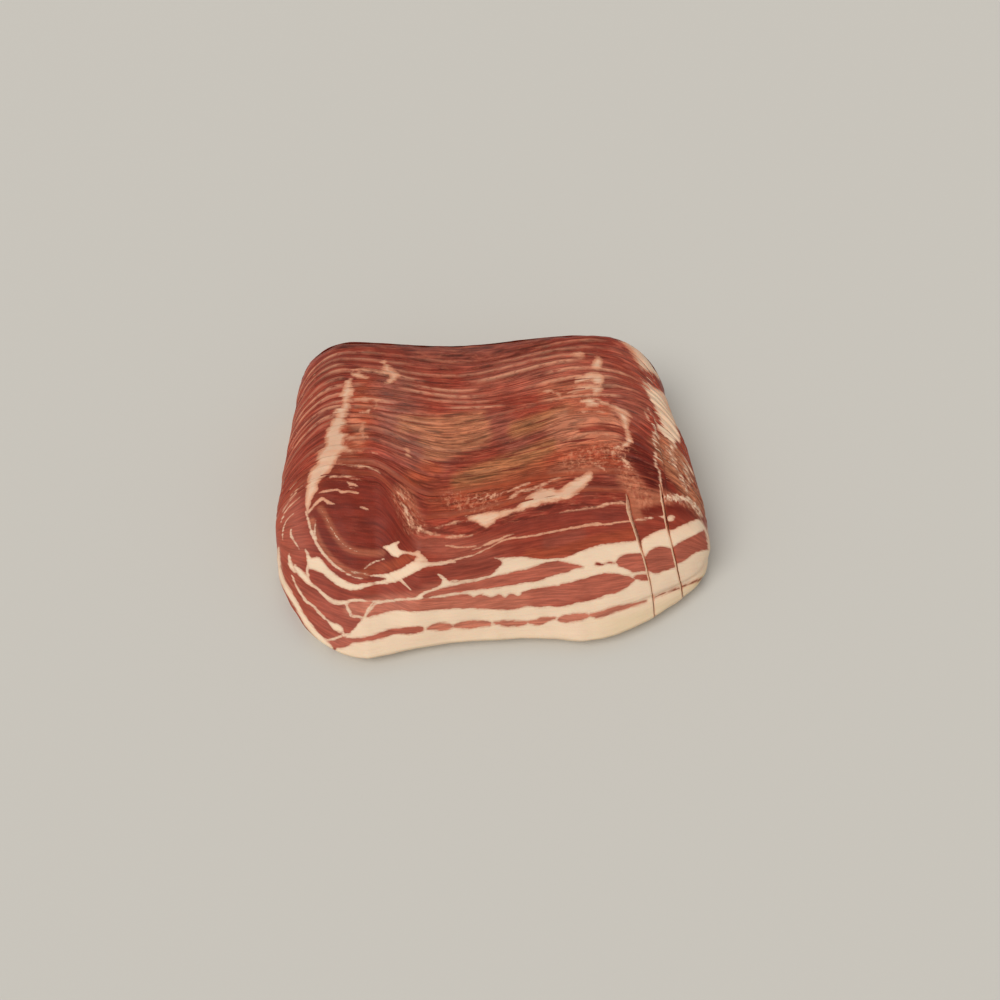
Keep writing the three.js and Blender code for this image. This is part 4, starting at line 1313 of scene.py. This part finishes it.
class Finish:
    """A material's node tree, with one method that adds any node."""

    def __init__(self, name):
        self.material = bpy.data.materials.new(name)
        self.material.use_nodes = True
        self.tree = self.material.node_tree
        self.tree.nodes.clear()

    def node(self, kind, settings=None, **sockets):
        """Adds a node. Sockets go by name, or by number as i0, i1 and so on."""
        node = self.tree.nodes.new(kind)
        for name, setting in (settings or {}).items():
            setattr(node, name, setting)
        for name, value in sockets.items():
            by_number = name[0] == "i" and name[1:].isdigit()
            slot = node.inputs[int(name[1:]) if by_number else name.replace("_", " ")]
            if isinstance(value, Value):
                self.tree.links.new(value.socket, slot)
            else:
                slot.default_value = value
        return node

    def value(self, kind, output, settings=None, **sockets):
        return Value(self.tree, self.node(kind, settings, **sockets).outputs[output])

    def attribute(self, name, output="Fac"):
        return self.value("ShaderNodeAttribute", output, {"attribute_name": name})

    def stretched(self, vector, scale):
        return self.value("ShaderNodeVectorMath", 0, {"operation": "MULTIPLY"}, i0=vector, i1=scale)

    def scaled(self, colour, value):
        return self.value("ShaderNodeVectorMath", 0, {"operation": "SCALE"}, i0=colour, Scale=value)

    def noise(self, vector, scale, detail, roughness):
        return self.value("ShaderNodeTexNoise", "Fac", Vector=vector, Scale=scale, Detail=detail,
                          Roughness=roughness)

    def ramp(self, value, low, high, start=0.0, end=1.0):
        smoothstep = {"interpolation_type": "SMOOTHSTEP"}
        return self.value("ShaderNodeMapRange", 0, smoothstep, i0=value, i1=low, i2=high, i3=start,
                          i4=end)

    def blend(self, share, first, second):
        return self.value("ShaderNodeMix", 2, {"data_type": "RGBA"}, i0=share, i6=first, i7=second)

    def surface(self, **sockets):
        """Ends the material with its one shader."""
        shader = self.node("ShaderNodeBsdfPrincipled", **sockets)
        out = self.node("ShaderNodeOutputMaterial")
        self.tree.links.new(shader.outputs[0], out.inputs["Surface"])
        return self.material


def rgba(colour):
    return (*linear(colour).tolist(), 1.0)


# The meat's noises: how they are stretched by the grain, or their scale; detail; roughness
FIBRES = ((0.04, 0.5, 1.0), 5.0, 0.62)
FINE_FIBRES = ((0.09, 1.2, 1.0), 3.0, 0.6)
WOBBLE = ((0.22, 0.7, 1.0), 3.0, 0.6)
TORN = ((0.5, 0.8, 1.0), 4.0, 0.65)
MOTTLE = (0.09, 3.0, 0.55)
GRIT = (1.5, 3.0, 0.6)
STREAKS = (0.36, 0.64)

# The edge between fat and lean, in millimetres: on plain faces, and what stripes and tears add
EDGE_WANDER = {"plain": 1.2, "striped": 3.2, "grit": 0.5, "ragged": 9.0}
EDGE_SOFTNESS = {"plain": 0.16, "striped": 0.5, "ragged": 0.6}

# How moist meat takes the light
MOIST = {"Subsurface_Weight": 0.12, "Subsurface_Radius": (1.0, 0.35, 0.2), "Subsurface_Scale": 0.002,
         "Specular_IOR_Level": 0.13, "Coat_Weight": 0.02, "Coat_Roughness": 0.3}
FIBRE_BUMP = {"Strength": 0.6, "Distance": 0.0006}


def along_grain(m, field):
    stretch, detail, roughness = field
    return m.noise(m.stretched(m.attribute("grain", "Vector"), stretch), 1.0, detail, roughness)


class MeatPattern:
    """What varies over the cut meat: its fibres, its mottling, and where it is fat or torn."""

    def __init__(self, m):
        place = m.stretched(m.value("ShaderNodeTexCoord", "Object"), (1.0 / MM,) * 3)
        self.fibres = along_grain(m, FIBRES)
        self.fine_fibres = along_grain(m, FINE_FIBRES)
        self.wobble = along_grain(m, WOBBLE)
        self.torn = along_grain(m, TORN)
        self.mottle = m.noise(place, *MOTTLE)
        self.grit = m.noise(place, *GRIT)
        self.striped = m.attribute("striped")
        self.ragged = m.attribute("ragged")
        self.streak = m.ramp(self.fibres, *STREAKS) - 0.5
        self.fine_streak = m.ramp(self.fine_fibres, *STREAKS) - 0.5
        # Depth inside fat, in millimetres, with an edge that wanders with the fibres
        wander = EDGE_WANDER["plain"] + self.striped * EDGE_WANDER["striped"]
        edge = m.attribute("fat") + (self.wobble - 0.5) * wander
        edge = edge + (self.grit - 0.5) * EDGE_WANDER["grit"]
        self.edge = edge + self.ragged * (self.torn - 0.5) * EDGE_WANDER["ragged"]
        soft = (EDGE_SOFTNESS["plain"] + self.striped * EDGE_SOFTNESS["striped"]
                + self.ragged * EDGE_SOFTNESS["ragged"])
        self.fat = m.ramp(self.edge, 0.0 - soft, soft)


def lean_colour(m, p):
    """Streaked lean, with pale and dark threads, and pale shreds in the torn parts."""
    contrast = p.streak * (0.18 + p.striped * 0.34) + p.fine_streak * (0.18 + p.striped * 0.5)
    lean = m.scaled(m.attribute("lean_tone", "Color"), 1.0 + contrast)
    lean = m.blend(m.ramp(p.mottle, 0.45, 0.7, 0.0, 0.35), lean, m.scaled(lean, 0.6 + p.grit * 0.3))
    lean = m.blend(m.ramp(p.fine_fibres, 0.56, 0.72, 0.0, 0.38) * p.striped, lean, rgba(PEACH))
    pale_threads = m.ramp(abs(p.fibres - 0.5), 0.0, 0.02, 1.0, 0.0) * m.ramp(p.mottle, 0.42, 0.58)
    lean = m.blend(pale_threads * (p.striped * 0.5), lean, rgba(PEACH))
    dark_threads = m.ramp(abs(p.fine_fibres - 0.48), 0.0, 0.035, 1.0, 0.0) * p.striped
    lean = m.blend(dark_threads * 0.5, lean, rgba(DARK))
    lean = m.blend(p.ragged * m.ramp(p.torn, 0.46, 0.66, 0.0, 0.85), lean, rgba(PALE))
    return m.blend(p.ragged * m.ramp(p.torn, 0.34, 0.46, 0.7, 0.0), lean, rgba(RED))


def fat_colour(m, p):
    """Fat that is creamier inside and blushes next to the lean."""
    shade = 0.88 + p.mottle * 0.2 + (p.grit - 0.5) * 0.12 + p.streak * p.striped * 0.14
    fat = m.scaled(m.attribute("fat_tone", "Color"), shade)
    fat = m.blend(m.ramp(p.fine_fibres, 0.5, 0.66, 0.0, 0.5) * p.striped, fat, rgba(PEACH))
    fat = m.blend(m.ramp(p.edge, 0.7, 2.6, 0.0, 0.5), fat, rgba(CREAM))
    return m.blend(m.ramp(p.edge, 0.1, 1.2, 0.4, 0.0), fat, rgba(PEACH))


def cut_meat():
    """Moist lean with fine fibres, marbled with fat, with a painted highlight along the cut corners and
    painted shade in the grooves behind the rims.
    """
    m = Finish("cut_meat")
    p = MeatPattern(m)
    colour = m.blend(p.fat, lean_colour(m, p), fat_colour(m, p))
    # Painted highlight along the cut corners, blended towards pale fat
    corner = m.attribute("painted_corner_highlight") * m.ramp(p.wobble, 0.25, 0.55)
    colour = m.blend(corner * 0.75, colour, rgba(TAN_FAT))
    # Painted shade in the grooves behind the rims
    colour = m.blend(m.attribute("groove_shade") * 0.6, colour, rgba(DARK))
    relief = p.fibres * 0.5 + p.fine_fibres * 0.3 + p.grit * 0.35 + p.wobble * 0.4
    bump = m.value("ShaderNodeBump", 0, Height=relief, **FIBRE_BUMP)
    shine = 0.40 + (p.mottle - 0.5) * 0.3 + p.fine_fibres * 0.1 + p.fat * 0.06
    return m.surface(Base_Color=colour, Roughness=shine, Normal=bump, **MOIST)


FLOOR = {"colour": (206, 203, 196), "roughness": 0.85, "half_size": 40.0}


def make_floor():
    finish = Finish("pale_floor")
    sheet = bmesh.new()
    bmesh.ops.create_grid(sheet, x_segments=4, y_segments=4, size=FLOOR["half_size"])
    mesh = bpy.data.meshes.new("floor")
    sheet.to_mesh(mesh)
    sheet.free()
    mesh.materials.append(finish.surface(Base_Color=rgba(FLOOR["colour"]), Roughness=FLOOR["roughness"]))
    floor = bpy.data.objects.new("floor", mesh)
    bpy.context.scene.collection.objects.link(floor)


BACKDROP = {"colour": (1.0, 0.99, 0.97, 1.0), "strength": 0.55}
WINDOW = {"strength": 1.5, "degrees": 38.0, "colour": (1.0, 0.97, 0.93), "from": (-0.5, -0.32, 0.8)}


def studio_light():
    bpy.context.scene.view_settings.view_transform = "Standard"
    world = bpy.data.worlds.new("studio")
    bpy.context.scene.world = world
    world.use_nodes = True
    backdrop = world.node_tree.nodes["Background"]
    backdrop.inputs["Color"].default_value = BACKDROP["colour"]
    backdrop.inputs["Strength"].default_value = BACKDROP["strength"]
    sun = bpy.data.lights.new("window", "SUN")
    sun.energy = WINDOW["strength"]
    sun.angle = math.radians(WINDOW["degrees"])
    sun.color = WINDOW["colour"]
    lamp = bpy.data.objects.new("window", sun)
    bpy.context.scene.collection.objects.link(lamp)
    lamp.rotation_euler = Vector(WINDOW["from"]).to_track_quat("Z", "Y").to_euler()


def make_camera():
    place, _ = camera_place()
    camera = bpy.data.cameras.new("camera")
    camera.lens = CAMERA["lens"]
    camera.sensor_width = CAMERA["sensor"]
    camera.clip_start = 0.01
    holder = bpy.data.objects.new("camera", camera)
    bpy.context.scene.collection.objects.link(holder)
    holder.location = place * MM
    holder.rotation_euler = (math.radians(90.0 - CAMERA["elevation"]), 0.0, 0.0)
    bpy.context.scene.camera = holder


make_camera()
make_floor()
studio_light()
meat = cut_meat()
for number in range(SLICES + 1):
    make_piece(number, meat)
